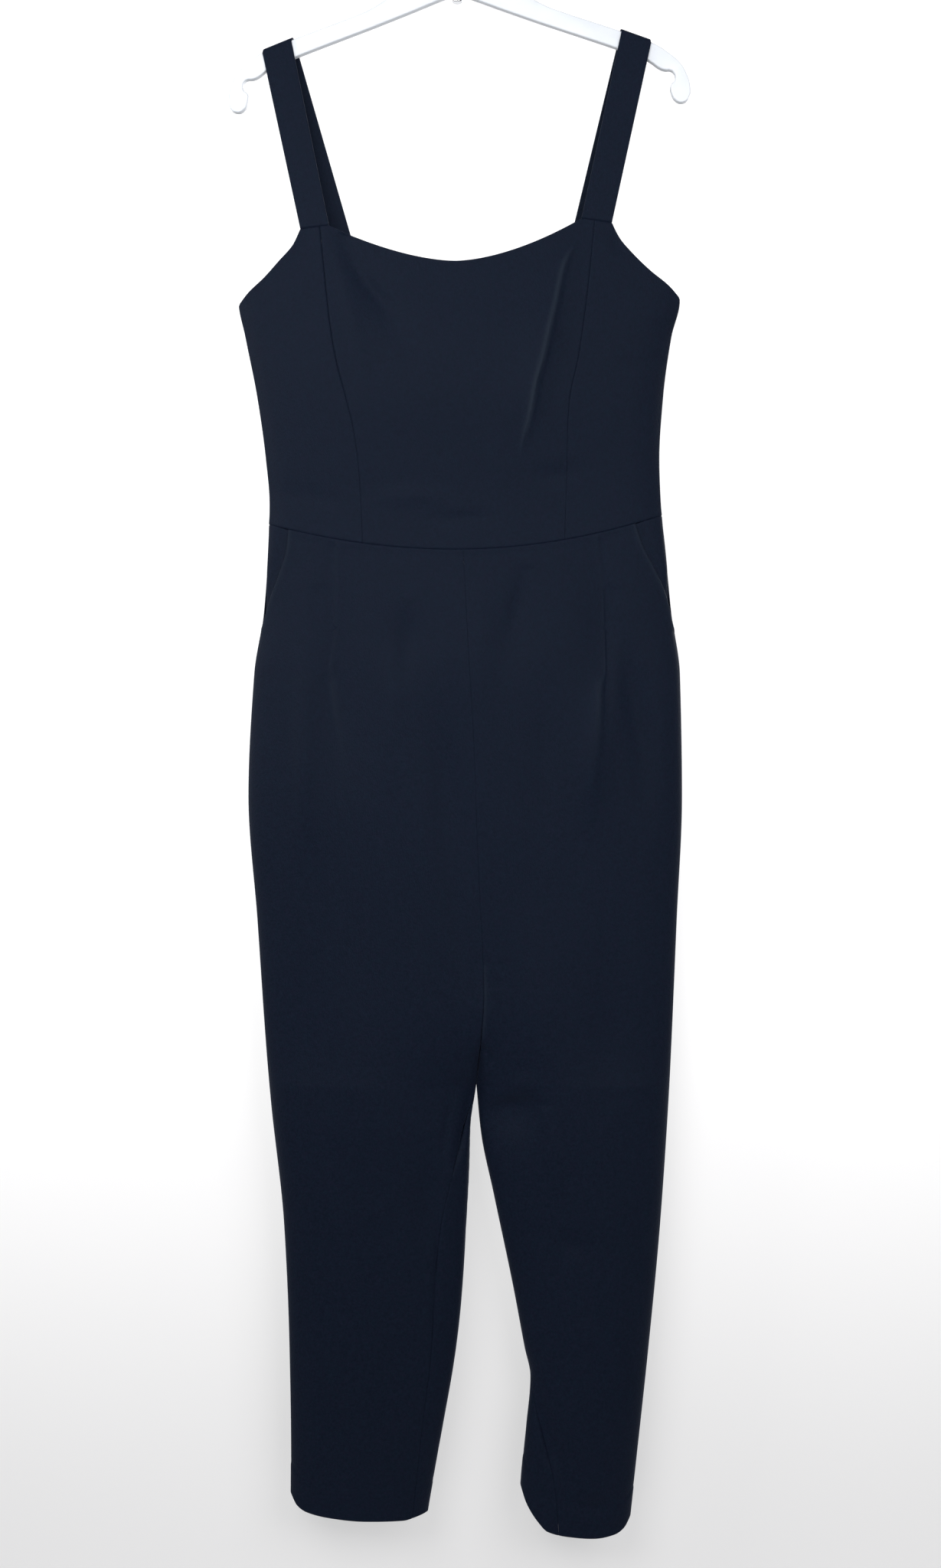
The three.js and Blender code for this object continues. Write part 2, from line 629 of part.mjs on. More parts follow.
// The stretch of an arm's upper edge that a strap lies on
function armEdge(side) {
  return {
    inner: tilted([side * ARM_INNER[0], ARM_INNER[1]]),
    outer: tilted([side * ARM_OUTER[0], ARM_OUTER[1]]),
  };
}

function armTop(side, x) {
  const { inner, outer } = armEdge(side);
  return inner.y + ((x - inner.x) / (outer.x - inner.x)) * (outer.y - inner.y);
}

// The cosine of an arm's slope
function armLean(side) {
  const { inner, outer } = armEdge(side);
  return Math.abs(outer.x - inner.x) / inner.distanceTo(outer);
}

// A strap goes up from the bodice's front, over the hanger's arm and down behind.
// Each row of its grid lies across it, from the outer edge to the inner one.
function strap(side) {
  const size = strapOf(side);
  const across = (edge, i) => lerp(edge.outer, edge.inner, i / COLUMNS.strap);
  const baseAt = (face, i) => {
    const base = face === FRONT ? size.frontBase : size.backBase;
    const share = i / COLUMNS.strap;
    const x = lerp(base.outer[0], base.inner[0], share);
    const z = lerp(base.outer[1], base.inner[1], share);
    return new THREE.Vector3(x, bodiceY(face, x, z), z + LEVEL_GAP / 2);
  };
  // Over the arm it lies flat on the top and turns down round the bevelled edges
  const turnRadius = HANGER_BEVEL + LEVEL_GAP + STRAP_CLOTH;
  const flat = HANGER_THICK / 2 - HANGER_BEVEL;
  const turnAtAngle = (face, angle, i) => {
    const share = (1 + face * Math.cos(angle)) / 2;
    const x = lerp(across(size.frontTop, i), across(size.backTop, i), share);
    const crown = armTop(side, x) + (LEVEL_GAP + STRAP_CLOTH) / armLean(side);
    const y = face * (flat + turnRadius * Math.cos(angle));
    return new THREE.Vector3(x, y, crown - turnRadius * (1 - Math.sin(angle)));
  };
  const rows = [];
  const leg = (face, from, to) => {
    for (let step = from; step !== to; step += Math.sign(to - from)) {
      const share = step / STRAP_LEG_STEPS;
      const row = [];
      for (let i = 0; i <= COLUMNS.strap; i += 1) {
        row.push(baseAt(face, i).lerp(turnAtAngle(face, 0, i), share));
      }
      rows.push(row);
    }
  };
  const turn = (face, from, to) => {
    for (let step = from; step !== to; step += Math.sign(to - from)) {
      const angle = (Math.PI / 2) * (step / STRAP_TURN_STEPS);
      const row = [];
      for (let i = 0; i <= COLUMNS.strap; i += 1) row.push(turnAtAngle(face, angle, i));
      rows.push(row);
    }
  };
  leg(FRONT, 0, STRAP_LEG_STEPS);
  turn(FRONT, 0, STRAP_TURN_STEPS + 1);
  turn(BACK, STRAP_TURN_STEPS, -1);
  leg(BACK, STRAP_LEG_STEPS - 1, -1);
  return wallGeometry(rows.map((row, j) => row.map((place, i) => {
    const before = rows[Math.max(j - 1, 0)][i];
    const after = rows[Math.min(j + 1, rows.length - 1)][i];
    const along = after.clone().sub(before);
    const crossing = row[Math.min(i + 1, COLUMNS.strap)].clone().sub(row[Math.max(i - 1, 0)]);
    const normal = along.cross(crossing).multiplyScalar(side);
    if (j === 0 || j === rows.length - 1) normal.z = 0;
    return { outer: place, inner: place.clone().addScaledVector(normal.normalize(), -STRAP_CLOTH) };
  })));
}

// A closed three.js geometry as a solid for joining and cutting
function solidOf(geometry) {
  const plain = new THREE.BufferGeometry();
  plain.setAttribute('position', geometry.getAttribute('position').clone());
  if (geometry.index) plain.setIndex(geometry.index.clone());
  const merged = mergeVertices(plain, MERGE_DISTANCE);
  return new wasm.Manifold(new wasm.Mesh({
    numProp: 3,
    vertProperties: Float32Array.from(merged.getAttribute('position').array),
    triVerts: Uint32Array.from(merged.index.array),
  }));
}

function geometryOf(solid) {
  const mesh = solid.getMesh();
  const geometry = new THREE.BufferGeometry();
  geometry.setAttribute('position', new THREE.Float32BufferAttribute(mesh.vertProperties, 3));
  geometry.setIndex(Array.from(mesh.triVerts));
  geometry.computeVertexNormals();
  return geometry;
}

// A cylinder that stands on z = low and reaches z = high
function post(radius, low, high) {
  const geometry = new THREE.CylinderGeometry(radius, radius, high - low, POST_SIDES);
  geometry.rotateX(Math.PI / 2);
  geometry.translate(0, 0, (low + high) / 2);
  return geometry;
}

// The hanger's body: its outline extruded with rounded edges, and bored for the hook
function hangerBody() {
  const half = [...HANGER_LOWER, ...HANGER_NOTCH, ...HANGER_TIP, ...HANGER_UPPER, ...HANGER_HUB];
  const mirrored = [...half].reverse().map(([x, z]) => [-x, z]);
  const outline = [...half, [0, HUB_TOP], ...mirrored, [0, HUB_BOTTOM]];
  const inside = outline.map(([x, z]) => new THREE.Vector2(x, z));
  const geometry = new THREE.ExtrudeGeometry(new THREE.Shape(inside), {
    depth: HANGER_THICK - 2 * HANGER_BEVEL,
    bevelThickness: HANGER_BEVEL,
    bevelSize: HANGER_BEVEL,
    bevelOffset: -HANGER_BEVEL,
    bevelSegments: 2,
  });
  geometry.rotateX(Math.PI / 2);
  geometry.translate(0, HANGER_THICK / 2 - HANGER_BEVEL, 0);
  const bore = post(HOOK_BORE / 2, HUB_BOTTOM - BORE_RUNOUT, HUB_TOP + BORE_RUNOUT);
  return geometryOf(solidOf(geometry).subtract(solidOf(bore)));
}

// The hook: a bent wire through the hub, with a head under it
function hangerHook() {
  const centre = HOOK_WIRE / 2 - HOOK_RADIUS;
  const onBend = (degrees) => {
    const angle = THREE.MathUtils.degToRad(degrees);
    return [HOOK_RADIUS * Math.cos(angle), centre + HOOK_RADIUS * Math.sin(angle)];
  };
  const headTop = HUB_BOTTOM - LEVEL_GAP;
  const headMiddle = headTop - HOOK_HEAD.height / 2;
  const places = [[0, headMiddle], ...HOOK_STEM, ...HOOK_BEND_DEGREES.map(onBend)];
  const route = places.map(([x, z]) => new THREE.Vector3(x, 0, z));
  const circle = new THREE.Shape();
  circle.absarc(0, 0, HOOK_WIRE / 2, 0, 2 * Math.PI);
  const wire = new THREE.ExtrudeGeometry(circle, {
    steps: HOOK_STEPS,
    curveSegments: HOOK_SIDES / 2,
    extrudePath: new THREE.CatmullRomCurve3(route),
  });
  const head = post(HOOK_HEAD.radius, headTop - HOOK_HEAD.height, headTop);
  return geometryOf(solidOf(wire).add(solidOf(head)));
}

const jumpsuit = new THREE.Group();
addMesh(jumpsuit, 'bodice_front_centre', bodiceCentre(), NAVY);
addMesh(jumpsuit, 'bodice_back', bodiceBack(), NAVY);
for (const side of [RIGHT, LEFT]) {
  const name = sideName(side);
  addMesh(jumpsuit, `bodice_front_${name}`, bodiceSide(side), NAVY);
  addMesh(jumpsuit, `strap_${name}`, strap(side), NAVY);
  addMesh(jumpsuit, `trouser_front_${name}`, trouserFront(side), NAVY);
  addMesh(jumpsuit, `trouser_back_${name}`, trouserBack(side), NAVY);
  addMesh(jumpsuit, `pocket_panel_${name}`, pocketPanel(side), NAVY);
}
const hanger = new THREE.Group();
hanger.rotation.y = -HANGER_TILT;
addMesh(hanger, 'hanger_body', hangerBody(), WHITE_PLASTIC);
addMesh(hanger, 'hanger_hook', hangerHook(), STEEL);
jumpsuit.add(hanger);

export default jumpsuit;
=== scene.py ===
"""The looks of a sleeveless crepe jumpsuit that hangs by its straps on a plastic hanger.

Sizes in the tables are millimetres, +Z up, with the front towards -Y and the wearer's
left towards +X. Meshes are made in metres.
"""
import math

import bmesh
import bpy
import numpy as np
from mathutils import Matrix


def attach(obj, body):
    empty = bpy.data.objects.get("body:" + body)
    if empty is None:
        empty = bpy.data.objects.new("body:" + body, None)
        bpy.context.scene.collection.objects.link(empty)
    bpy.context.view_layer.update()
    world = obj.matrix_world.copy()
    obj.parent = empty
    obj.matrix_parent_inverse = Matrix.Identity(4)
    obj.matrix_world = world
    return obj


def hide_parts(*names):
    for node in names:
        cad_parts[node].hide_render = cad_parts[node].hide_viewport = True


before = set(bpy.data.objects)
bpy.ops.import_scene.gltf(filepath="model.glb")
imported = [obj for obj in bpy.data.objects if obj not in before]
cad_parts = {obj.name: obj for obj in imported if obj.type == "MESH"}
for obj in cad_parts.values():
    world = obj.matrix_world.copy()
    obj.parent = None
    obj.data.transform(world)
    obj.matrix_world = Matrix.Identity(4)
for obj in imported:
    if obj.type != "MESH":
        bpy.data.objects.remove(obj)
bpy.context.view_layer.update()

MM = 0.001
FRONT, BACK = -1, 1
RIGHT, LEFT = -1, 1
SIDE_NAMES = {RIGHT: "right", LEFT: "left"}
SIDES = (RIGHT, LEFT)

# Camera
camera_data = bpy.data.cameras.new("camera")
camera_data.sensor_fit = "VERTICAL"
camera_data.sensor_width = 36
camera_data.sensor_height = 36
camera_data.lens = 50
camera = bpy.data.objects.new("camera", camera_data)
camera.location = (0.0145, -2.07, -0.8357)
camera.rotation_euler = (math.radians(90), 0, 0)
bpy.context.scene.collection.objects.link(camera)
bpy.context.scene.camera = camera
bpy.context.scene.view_settings.view_transform = "Standard"


# Tables
def table(columns, *rows):
    """A table's columns by name, in the order of its first column."""
    values = np.array(sorted(rows), float)
    return {name: values[:, i] for i, name in enumerate(columns.split())}


OUTLINE = table(
    "z right left front back",
    (-300, -206, 213.5, 21, 19),
    (-377, -206, 213.5, 27, 24),
    (-411, -199.5, 205.5, 30, 26),
    (-469, -188, 197.5, 32, 27),
    (-527, -180, 194, 29, 26),
    (-570, -176.5, 195.5, 27, 26),
    (-615, -178, 200, 28, 27),
    (-673, -182, 205.5, 31, 29),
    (-731, -191, 213.5, 34, 32),
    (-847, -196.5, 215.5, 35, 33),
    (-964, -188, 210.5, 33, 31),
    (-1080, -180, 205.5, 30, 28),
    (-1138, -175, 202.5, 28, 27),
    (-1255, -162.5, 194.5, 28, 27),
    (-1371, -157.5, 183.5, 28, 27),
    (-1473, -156, 172.5, 28, 27),
    (-1550, -156.5, 164, 28, 27),
)
LEGS = {
    RIGHT: table(
        "z inner depth seam",
        (-1121, 20, 27, 1),
        (-1161, 14.5, 26, 0.88),
        (-1198, 13.5, 24.5, 0.82),
        (-1255, 10.5, 23, 0.755),
        (-1313, 7, 21.5, 0.737),
        (-1371, 1, 20.5, 0.748),
        (-1444, -11.5, 19.5, 0.76),
        (-1502, -22, 18.5, 0.778),
        (-1550, -30, 18, 0.795),
    ),
    LEFT: table(
        "z inner depth seam",
        (-1121, 20, 27, 1),
        (-1167, 24.5, 26, 1),
        (-1225, 36.5, 24, 1),
        (-1313, 55, 22, 1),
        (-1371, 66, 21, 0.99),
        (-1398, 71.5, 20.5, 0.95),
        (-1444, 67.5, 19.5, 0.77),
        (-1502, 62, 18.5, 0.63),
        (-1550, 60, 18, 0.585),
    ),
}
CENTRE_SEAM = table(
    "z x",
    (-612, 7.5),
    (-709, 12.5),
    (-804, 18),
    (-905, 21.5),
    (-1034, 27),
    (-1080, 24),
    (-1121, 20),
)
CROTCH = -1121
CROTCH_START = -1030
PRINCESS = table(
    "z right left",
    (-306, -128, 131.5),
    (-360, -122.5, 126),
    (-400, -118, 121),
    (-436, -112, 115.5),
    (-475, -102, 107.5),
    (-505, -95, 105.7),
    (-545, -90, 105),
    (-604, -87, 103),
)
ARMHOLE = table(
    "share right left",
    (0, 0, 0),
    (0.22, 7.2, 8),
    (0.43, 20.6, 20.6),
    (0.65, 34.9, 36.9),
    (0.84, 50.1, 54.4),
    (1, 60, 65.5),
)
UNDERARM_SHARE = {FRONT: 0.25, BACK: 0.235}
WAIST = dict(low=-615.5, rise=(25.7, 34.2), edge=(176, 195.5), power=2)
NECKS = {
    FRONT: dict(low=-344, rise=(34.9, 41.4), edge=(119, 119), power=1.7),
    BACK: dict(low=-352, rise=(35.6, 42.9), edge=(98.5, 111.5), power=2.6),
}
STRAPS = {
    RIGHT: {
        FRONT: dict(base=((-146.2, -312), (-119, -309.1)), top=(-182.9, -155.3)),
        BACK: dict(base=((-126.2, -317.8), (-98.5, -316.4)), top=(-180, -152.4)),
    },
    LEFT: {
        FRONT: dict(base=((148, -306.2), (119, -302.6)), top=(185.8, 157.5)),
        BACK: dict(base=((139.3, -310.6), (111.5, -309.1)), top=(184.8, 156.5)),
    },
}
POCKET_BOTTOM = -690
POCKETS = {
    RIGHT: table("z x", (-592, -157), (-615, -159.5), (-635, -165.5), (-657, -174), (-690, -184.2)),
    LEFT: table("z x", (-586, 168.5), (-611, 177), (-631, 187.5), (-655, 199), (-690, 207.9)),
}
POCKET_UNDERLAP = 15
POCKET_DEPTH = 2.2
POCKET_BLEND = 14
POCKET_TAIL = 12
HEMS = {
    RIGHT: table(
        "share z",
        (0, -1508),
        (0.05, -1519),
        (0.12, -1524),
        (0.28, -1528),
        (0.55, -1531),
        (0.83, -1531.5),
        (0.92, -1529),
        (1, -1526),
    ),
    LEFT: table(
        "share z",
        (0, -1530),
        (0.05, -1540),
        (0.13, -1545),
        (0.3, -1547.5),
        (0.55, -1545.5),
        (0.74, -1541.5),
        (0.84, -1532),
        (0.94, -1517),
        (1, -1501),
    ),
}
HEM_HEIGHT = 29

# The pleats stitched down from the waist, and the lines they fall in below
PLEATS = {
    RIGHT: table(
        "z x", (-602, -113), (-694, -114.5), (-737, -119), (-771, -116), (-832, -107), (-1100, -100)
    ),
    LEFT: table(
        "z x", (-602, 134), (-640, 138.5), (-668, 140.7), (-730, 142.2), (-746, 139.3), (-1100, 132)
    ),
}
PLEAT_END = -737

# The ridge in the cloth beside the left princess seam
RIDGE = table(
    "z x",
    (-325, 113),
    (-347, 102.2),
    (-382, 94.2),
    (-413, 86.9),
    (-436, 81.8),
    (-460, 75.3),
    (-492, 69.5),
    (-517, 62.9),
    (-604, 55),
)


def fold(run, start, via, end, low, high, height, head=0, crisp=0):
    """A soft ridge, or a trough where height is negative, through three points.

    low and high are its half widths on the side of the smaller and the larger x, or z
    where it runs across. A head of 1 starts it at full height, and crisp sharpens it.
    """
    shape = dict(run=run, start=start, via=via, end=end, low=low, high=high)
    return dict(shape, height=height, head=head, crisp=crisp)


FOLDS = {
    FRONT: [
        fold("down", (113, -322), (82, -436), (60, -530), 26, 12, 4),
        fold("down", (-106, -318), (-71, -381), (-40, -450), 18, 18, -3, 0.4),
        fold("down", (-112, -612), (-112, -730), (-104, -870), 13, 24, -5, 0.15),
        fold("down", (-140, -680), (-137, -800), (-134, -950), 16, 16, 4),
        fold("down", (134, -606), (141, -690), (138, -780), 22, 9, -5, 0.15),
        fold("down", (138, -715), (133, -790), (128, -900), 18, 14, 4),
        fold("down", (152, -665), (172, -760), (185, -905), 16, 16, -5),
        fold("down", (-16, -710), (-2, -850), (14, -1010), 22, 22, -4),
        fold("down", (-46, -650), (-47, -694), (-45, -760), 20, 20, -2.5),
        fold("down", (70, -620), (62, -670), (52, -760), 20, 20, -2.5),
        fold("down", (95, -900), (92, -1050), (100, -1230), 30, 30, 3),
        fold("down", (-85, -950), (-80, -1120), (-78, -1300), 30, 30, 3),
        fold("across", (24, -1149), (52, -1140), (96, -1145), 36, 11, -4.5, 0.6),
        fold("down", (80, -1400), (88, -1448), (103, -1545), 9, 16, -4),
    ],
    BACK: [
        fold("down", (-60, -400), (-52, -480), (-48, -570), 24, 24, -3),
        fold("down", (80, -400), (70, -480), (64, -570), 24, 24, -3),
        fold("down", (-92, -606), (-90, -670), (-86, -760), 14, 22, -4, 0.15),
        fold("down", (110, -604), (108, -670), (104, -760), 22, 14, -4, 0.15),
        fold("down", (-30, -780), (-18, -900), (6, -1060), 24, 24, -4),
        fold("down", (84, -790), (66, -910), (38, -1060), 24, 24, -4),
        fold("down", (-90, -980), (-86, -1140), (-84, -1330), 28, 28, 3),
        fold("down", (110, -980), (114, -1140), (122, -1330), 28, 28, 3),
    ],
}
FINE_FOLDS = {
    FRONT: [
        # Bodice: beside the right seam, under the straps, above the waist
        fold("down", (-118, -315), (-101, -380), (-82, -475), 7, 9, 1.5, 0.5),
        fold("down", (-106, -316), (-90, -350), (-52, -405), 10, 8, -2.2, 0.5),
        fold("down", (-96, -330), (-76, -362), (-44, -392), 8, 9, 1.2, 0.2),
        fold("down", (148, -309), (152, -322), (158, -344), 5, 6, -1.5, 0.6),
        fold("down", (-150, -316), (-156, -336), (-170, -362), 6, 6, 1.4, 0.3),
        fold("down", (110, -335), (103, -395), (96, -455), 3.5, 3, -0.8, 0.2, 0.6),
        fold("across", (-92, -569), (-55, -566), (6, -568), 9, 8, 1.4),
        fold("across", (-40, -587), (2, -587), (52, -584), 8, 7, -1.4),
        fold("across", (58, -542), (90, -546), (130, -536), 10, 9, -1.4),
        fold("across", (-176, -556), (-150, -562), (-112, -568), 9, 9, -1.2, 0.5),
        fold("across", (150, -440), (178, -436), (207, -428), 8, 7, -1.7, 0.2),
        fold("across", (158, -400), (186, -394), (209, -386), 7, 8, 1.4, 0.2),
        # Hips: soft channels that hang from the pleats and the waist seam
        fold("down", (-147, -738), (-145, -805), (-141, -930), 6, 8, 2.2, 0.2),
        fold("down", (-128, -650), (-130, -760), (-122, -900), 9, 8, -2.4, 0.3),
        fold("down", (-52, -640), (-58, -750), (-62, -880), 12, 14, 1.9),
        fold("down", (-22, -735), (-12, -830), (-4, -950), 11, 12, -2.2),
        fold("down", (-14, -865), (-2, -930), (9, -1070), 9, 10, -2.2),
        fold("down", (66, -632), (61, -655), (50, -712), 8, 7, -1.9, 0.4),
        fold("down", (-50, -660), (-46, -694), (-47, -742), 7, 8, -1.9),
        fold("down", (18, -620), (24, -690), (22, -800), 14, 12, 1.5),
        fold("down", (135, -748), (131, -800), (127, -880), 6, 5, 2.2, 0.4),
        fold("down", (150, -650), (160, -715), (177, -815), 10, 9, -2.4, 0.3),
        fold("down", (186, -700), (192, -800), (188, -920), 9, 10, 1.9),
        fold("down", (90, -700), (84, -800), (78, -930), 14, 12, -1.5),
        # Thighs: long shallow ones between the hip and the knee
        fold("down", (20, -1010), (24, -1040), (22, -1110), 10, 12, 1.7, 0.1),
        fold("down", (60, -930), (70, -1040), (88, -1160), 14, 16, 2),
        fold("down", (150, -900), (146, -1040), (140, -1200), 16, 14, -1.7),
        fold("down", (-40, -930), (-34, -1040), (-30, -1160), 12, 14, 1.7),
        fold("down", (-150, -930), (-140, -1080), (-136, -1230), 12, 14, -1.7),
        fold("down", (-104, -960), (-100, -1080), (-98, -1210), 14, 12, 1.5),
        # Round the crotch
        fold("down", (24.5, -1078), (21.5, -1100), (19, -1124), 2.5, 3, -4.2, 0.4, 0.4),
        fold("down", (27, -1084), (34, -1094), (30, -1106), 3, 3, -2.7, 0.5, 0.4),
        fold("across", (22, -1087), (28, -1085), (35, -1092), 2.5, 3, -2, 0.5, 0.4),
        fold("across", (28, -1146), (54, -1138), (84, -1141), 26, 6, -2.2, 0.7),
        fold("across", (34, -1124), (60, -1118), (92, -1123), 7, 9, 1.5, 0.3),
        fold("down", (85, -1140), (92, -1180), (100, -1240), 8, 9, 1.9, 0.4),
        # The right leg's folds beside its inner edge
        fold("down", (16, -1124), (8, -1160), (-2, -1206), 3.6, 4.6, -8.5, 0.5, 0.4),
        fold("down", (-3, -1124), (-10, -1168), (-15, -1205), 3, 3, -1.7, 0.4, 0.6),
        fold("down", (-20, -1168), (-24, -1230), (-22, -1290), 14, 7, -2.5, 0.2),
        fold("down", (-15, -1200), (-18, -1290), (-25, -1400), 4, 3, -1.7, 0.3, 0.5),
        fold("down", (-66, -1300), (-62, -1400), (-70, -1500), 14, 14, -1.9),
        fold("down", (-118, -1380), (-112, -1450), (-116, -1525), 12, 12, -2),
        fold("across", (-10, -1200), (-3, -1206), (6, -1208), 3, 3, 1.5, 0.4, 0.5),
        # The left leg's folds, to the twist above its hem
        fold("across", (86, -1260), (110, -1268), (142, -1276), 12, 10, -2),
        fold("down", (110, -1290), (116, -1370), (112, -1450), 12, 13, 1.5),
        fold("down", (148, -1220), (152, -1330), (146, -1440), 12, 12, 1.4),
        fold("down", (72, -1400), (83, -1448), (96, -1500), 4, 9, -3, 0.5),
        fold("down", (84, -1440), (93, -1480), (104, -1536), 6, 5, 2.2, 0.2),
        fold("across", (104, -1511), (124, -1519), (158, -1508), 8, 8, -2.1, 0.2),
    ],
    BACK: [
        fold("down", (-112, -330), (-88, -390), (-60, -460), 10, 10, -1.9, 0.4),
        fold("down", (118, -325), (98, -385), (76, -455), 10, 9, -1.9, 0.4),
        fold("down", (-146, -350), (-140, -420), (-130, -500), 10, 9, 1.4, 0.2),
        fold("down", (160, -350), (152, -420), (140, -510), 9, 10, 1.4, 0.2),
        fold("down", (4, -380), (8, -460), (6, -560), 16, 14, 1.4),
        fold("across", (-60, -566), (0, -571), (70, -565), 9, 8, 1.5),
        fold("across", (-70, -588), (10, -590), (96, -583), 8, 7, -1.4),
        fold("across", (-205, -428), (-180, -436), (-150, -438), 8, 7, -1.5, 0.2),
        fold("across", (150, -412), (182, -407), (212, -400), 8, 7, -1.5, 0.2),
        fold("down", (-128, -640), (-134, -750), (-128, -900), 10, 9, -2.2, 0.2),
        fold("down", (-154, -700), (-158, -800), (-150, -930), 9, 10, 2),
        fold("down", (140, -650), (150, -760), (146, -900), 9, 11, -2.2, 0.2),
        fold("down", (174, -690), (180, -800), (172, -930), 10, 9, 2),
        fold("down", (-56, -650), (-60, -760), (-58, -880), 12, 12, 1.7),
        fold("down", (66, -640), (72, -760), (70, -890), 12, 13, 1.7),
        fold("down", (-10, -850), (4, -960), (14, -1090), 9, 9, -2.7, 0.2),
        fold("down", (56, -860), (42, -960), (28, -1080), 9, 9, -2.7, 0.2),
        fold("across", (-60, -1100), (-26, -1108), (14, -1112), 9, 8, -2.8, 0.1),
        fold("across", (28, -1122), (60, -1116), (100, -1122), 9, 8, -2.8, 0.5),
        fold("across", (-90, -1140), (-50, -1150), (-6, -1152), 9, 9, -2.2, 0.1),
        fold("down", (-40, -1000), (-34, -1130), (-32, -1240), 12, 12, 1.7),
        fold("down", (104, -1000), (100, -1130), (110, -1240), 13, 12, 1.7),
        fold("down", (-120, -980), (-124, -1120), (-118, -1270), 14, 13, -1.9),
        fold("down", (150, -980), (156, -1120), (152, -1260), 13, 14, -1.9),
        fold("across", (-130, -1240), (-90, -1252), (-40, -1246), 12, 11, -2),
        fold("across", (80, -1230), (124, -1240), (170, -1232), 12, 12, -2),
        fold("down", (-70, -1280), (-74, -1390), (-78, -1500), 12, 12, -1.9),
        fold("down", (112, -1280), (118, -1390), (116, -1500), 11, 12, -1.9),
        fold("down", (-116, -1370), (-112, -1450), (-118, -1520), 11, 11, 1.5),
        fold("down", (80, -1400), (88, -1460), (92, -1520), 8, 8, 1.7),
    ],
}
FOLD_WINDOW = 1.6
WAIST_CALM = 13

HANGER_TILT = math.radians(1.3)
HANGER_THICK = 8
HANGER_BEVEL = 1.6
ARM_INNER = (150, -123)
ARM_OUTER = (188, -137.5)
HUB_BOTTOM = -87.5
HUB_TOP = -56
HANGER_OUTLINE = np.array(
    [
        (6, -87.5), (16, -91), (40, -100.5), (80, -115.5), (118, -129), (150, -140.5), (180, -152),
        (193, -163.5), (203.5, -161.5), (206.5, -173), (199.5, -175.5), (201, -186), (205, -192.5),
        (212, -194.5), (218.5, -190), (220, -179), (216, -165), (209, -153.5), (188, -137.5),
        (150, -123), (100, -105.5), (82, -98.5), (68, -89.5), (50, -76), (33, -65), (20, -58.5), (10, -56),
    ]
)
CORNER_CUTS = (5, 2.2, 0.9)
EDGE_ROWS = 7
HOOK_BORE = 4.6
HOOK_HEAD = (4.6, 5.5)
HOOK_WIRE = 3.8
HOOK_RADIUS = 21
HOOK_SIDES = 24
HOOK_STEPS = 12
HOOK_STEM = [(0, -70), (0, -56), (3, -47), (12, -39)]
HOOK_BEND_DEGREES = (-30, 0, 30, 60, 90, 120, 150, 180, 205)

# Cloth
CLOTH = 1.1
STRAP_CLOTH = 1.8
SEAT_GAP = 0.3
SEAM_GAP = 0.06
SEAM_REACH = 1.7
SEAM_DROP = 0.5
SEAM_LIFT = 0.16
SEAM_ALLOWANCE = 11
EDGE_STEPS = (0, 0.3, 0.7, 1.2, 1.9, 3)
GRID = 2.6


def table_value(rows, column, at):
    """A smooth value between a table's rows that never overshoots them."""
    place = next(iter(rows.values()))
    value = rows[column]
    slope = np.diff(value) / np.diff(place)
    tangent = np.empty_like(value)
    tangent[0], tangent[-1] = slope[0], slope[-1]
    product = slope[:-1] * slope[1:]
    total = np.where(product > 0, slope[:-1] + slope[1:], 1)
    tangent[1:-1] = np.where(product > 0, 2 * product / total, 0)
    at = np.clip(at, place[0], place[-1])
    i = np.clip(np.searchsorted(place, at, side="right") - 1, 0, len(place) - 2)
    width = place[i + 1] - place[i]
    t = (at - place[i]) / width
    bend = t * t * (3 - 2 * t)
    lead = t * (1 - t) ** 2 * width * tangent[i]
    trail = t * t * (t - 1) * width * tangent[i + 1]
    return value[i] * (1 - bend) + value[i + 1] * bend + lead + trail


def mix(start, end, share):
    return start + (end - start) * share


def smooth(value):
    t = np.clip(value, 0, 1)
    return t * t * (3 - 2 * t)


def edge_at(side, z):
    return table_value(OUTLINE, SIDE_NAMES[side], z)


def inner_at(side, z):
    return np.where(z > CROTCH, table_value(CENTRE_SEAM, "x", z), table_value(LEGS[side], "inner", z))


def princess_at(side, z):
    return table_value(PRINCESS, SIDE_NAMES[side], z)


def curve_height(curve, x):
    rise = np.where(x < 0, *curve["rise"])
    edge = np.where(x < 0, *curve["edge"])
    return curve["low"] + rise * (np.abs(x) / edge) ** curve["power"]


def waist_at(x, z=None):
    return curve_height(WAIST, x)


def fold_height(shape, x, z):
    """How far a fold lifts the cloth at each place."""
    down = shape["run"] == "down"
    along, other = (z, x) if down else (x, z)
    axis = 1 if down else 0
    start, via, end = shape["start"], shape["via"], shape["end"]
    t = (along - start[axis]) / (end[axis] - start[axis])
    middle = (via[axis] - start[axis]) / (end[axis] - start[axis])
    straight = mix(start[1 - axis], end[1 - axis], middle)
    bow = (via[1 - axis] - straight) / (middle * (1 - middle))
    away = other - (mix(start[1 - axis], end[1 - axis], t) + bow * t * (1 - t))
    ratio = np.abs(away) / np.where(away < 0, shape["low"], shape["high"])
    profile = mix(np.exp(-(ratio**2)), np.exp(-1.6 * ratio), shape["crisp"])
    rise = np.sin(math.pi * np.clip(t * 2, 0, 1) / 2) ** 2
    fall = np.cos(math.pi * np.clip(t * 2 - 1, 0, 1) / 2) ** 2
    inside = (t >= 0) & (t <= 1)
    return np.where(inside, shape["height"] * mix(rise, 1, shape["head"]) * fall * profile, 0)


def folds(face, x, z, shape):
    total = sum(fold_height(each, x, z) for each in FOLDS[face] + FINE_FOLDS[face])
    calm = smooth(np.abs(z - waist_at(x)) / WAIST_CALM)
    return total * np.minimum(1, FOLD_WINDOW * shape) * calm


def across_at(x, z):
    right, left = edge_at(RIGHT, z), edge_at(LEFT, z)
    across = np.clip((2 * x - right - left) / (left - right), -1, 1)
    return np.sqrt(1 - across * across)


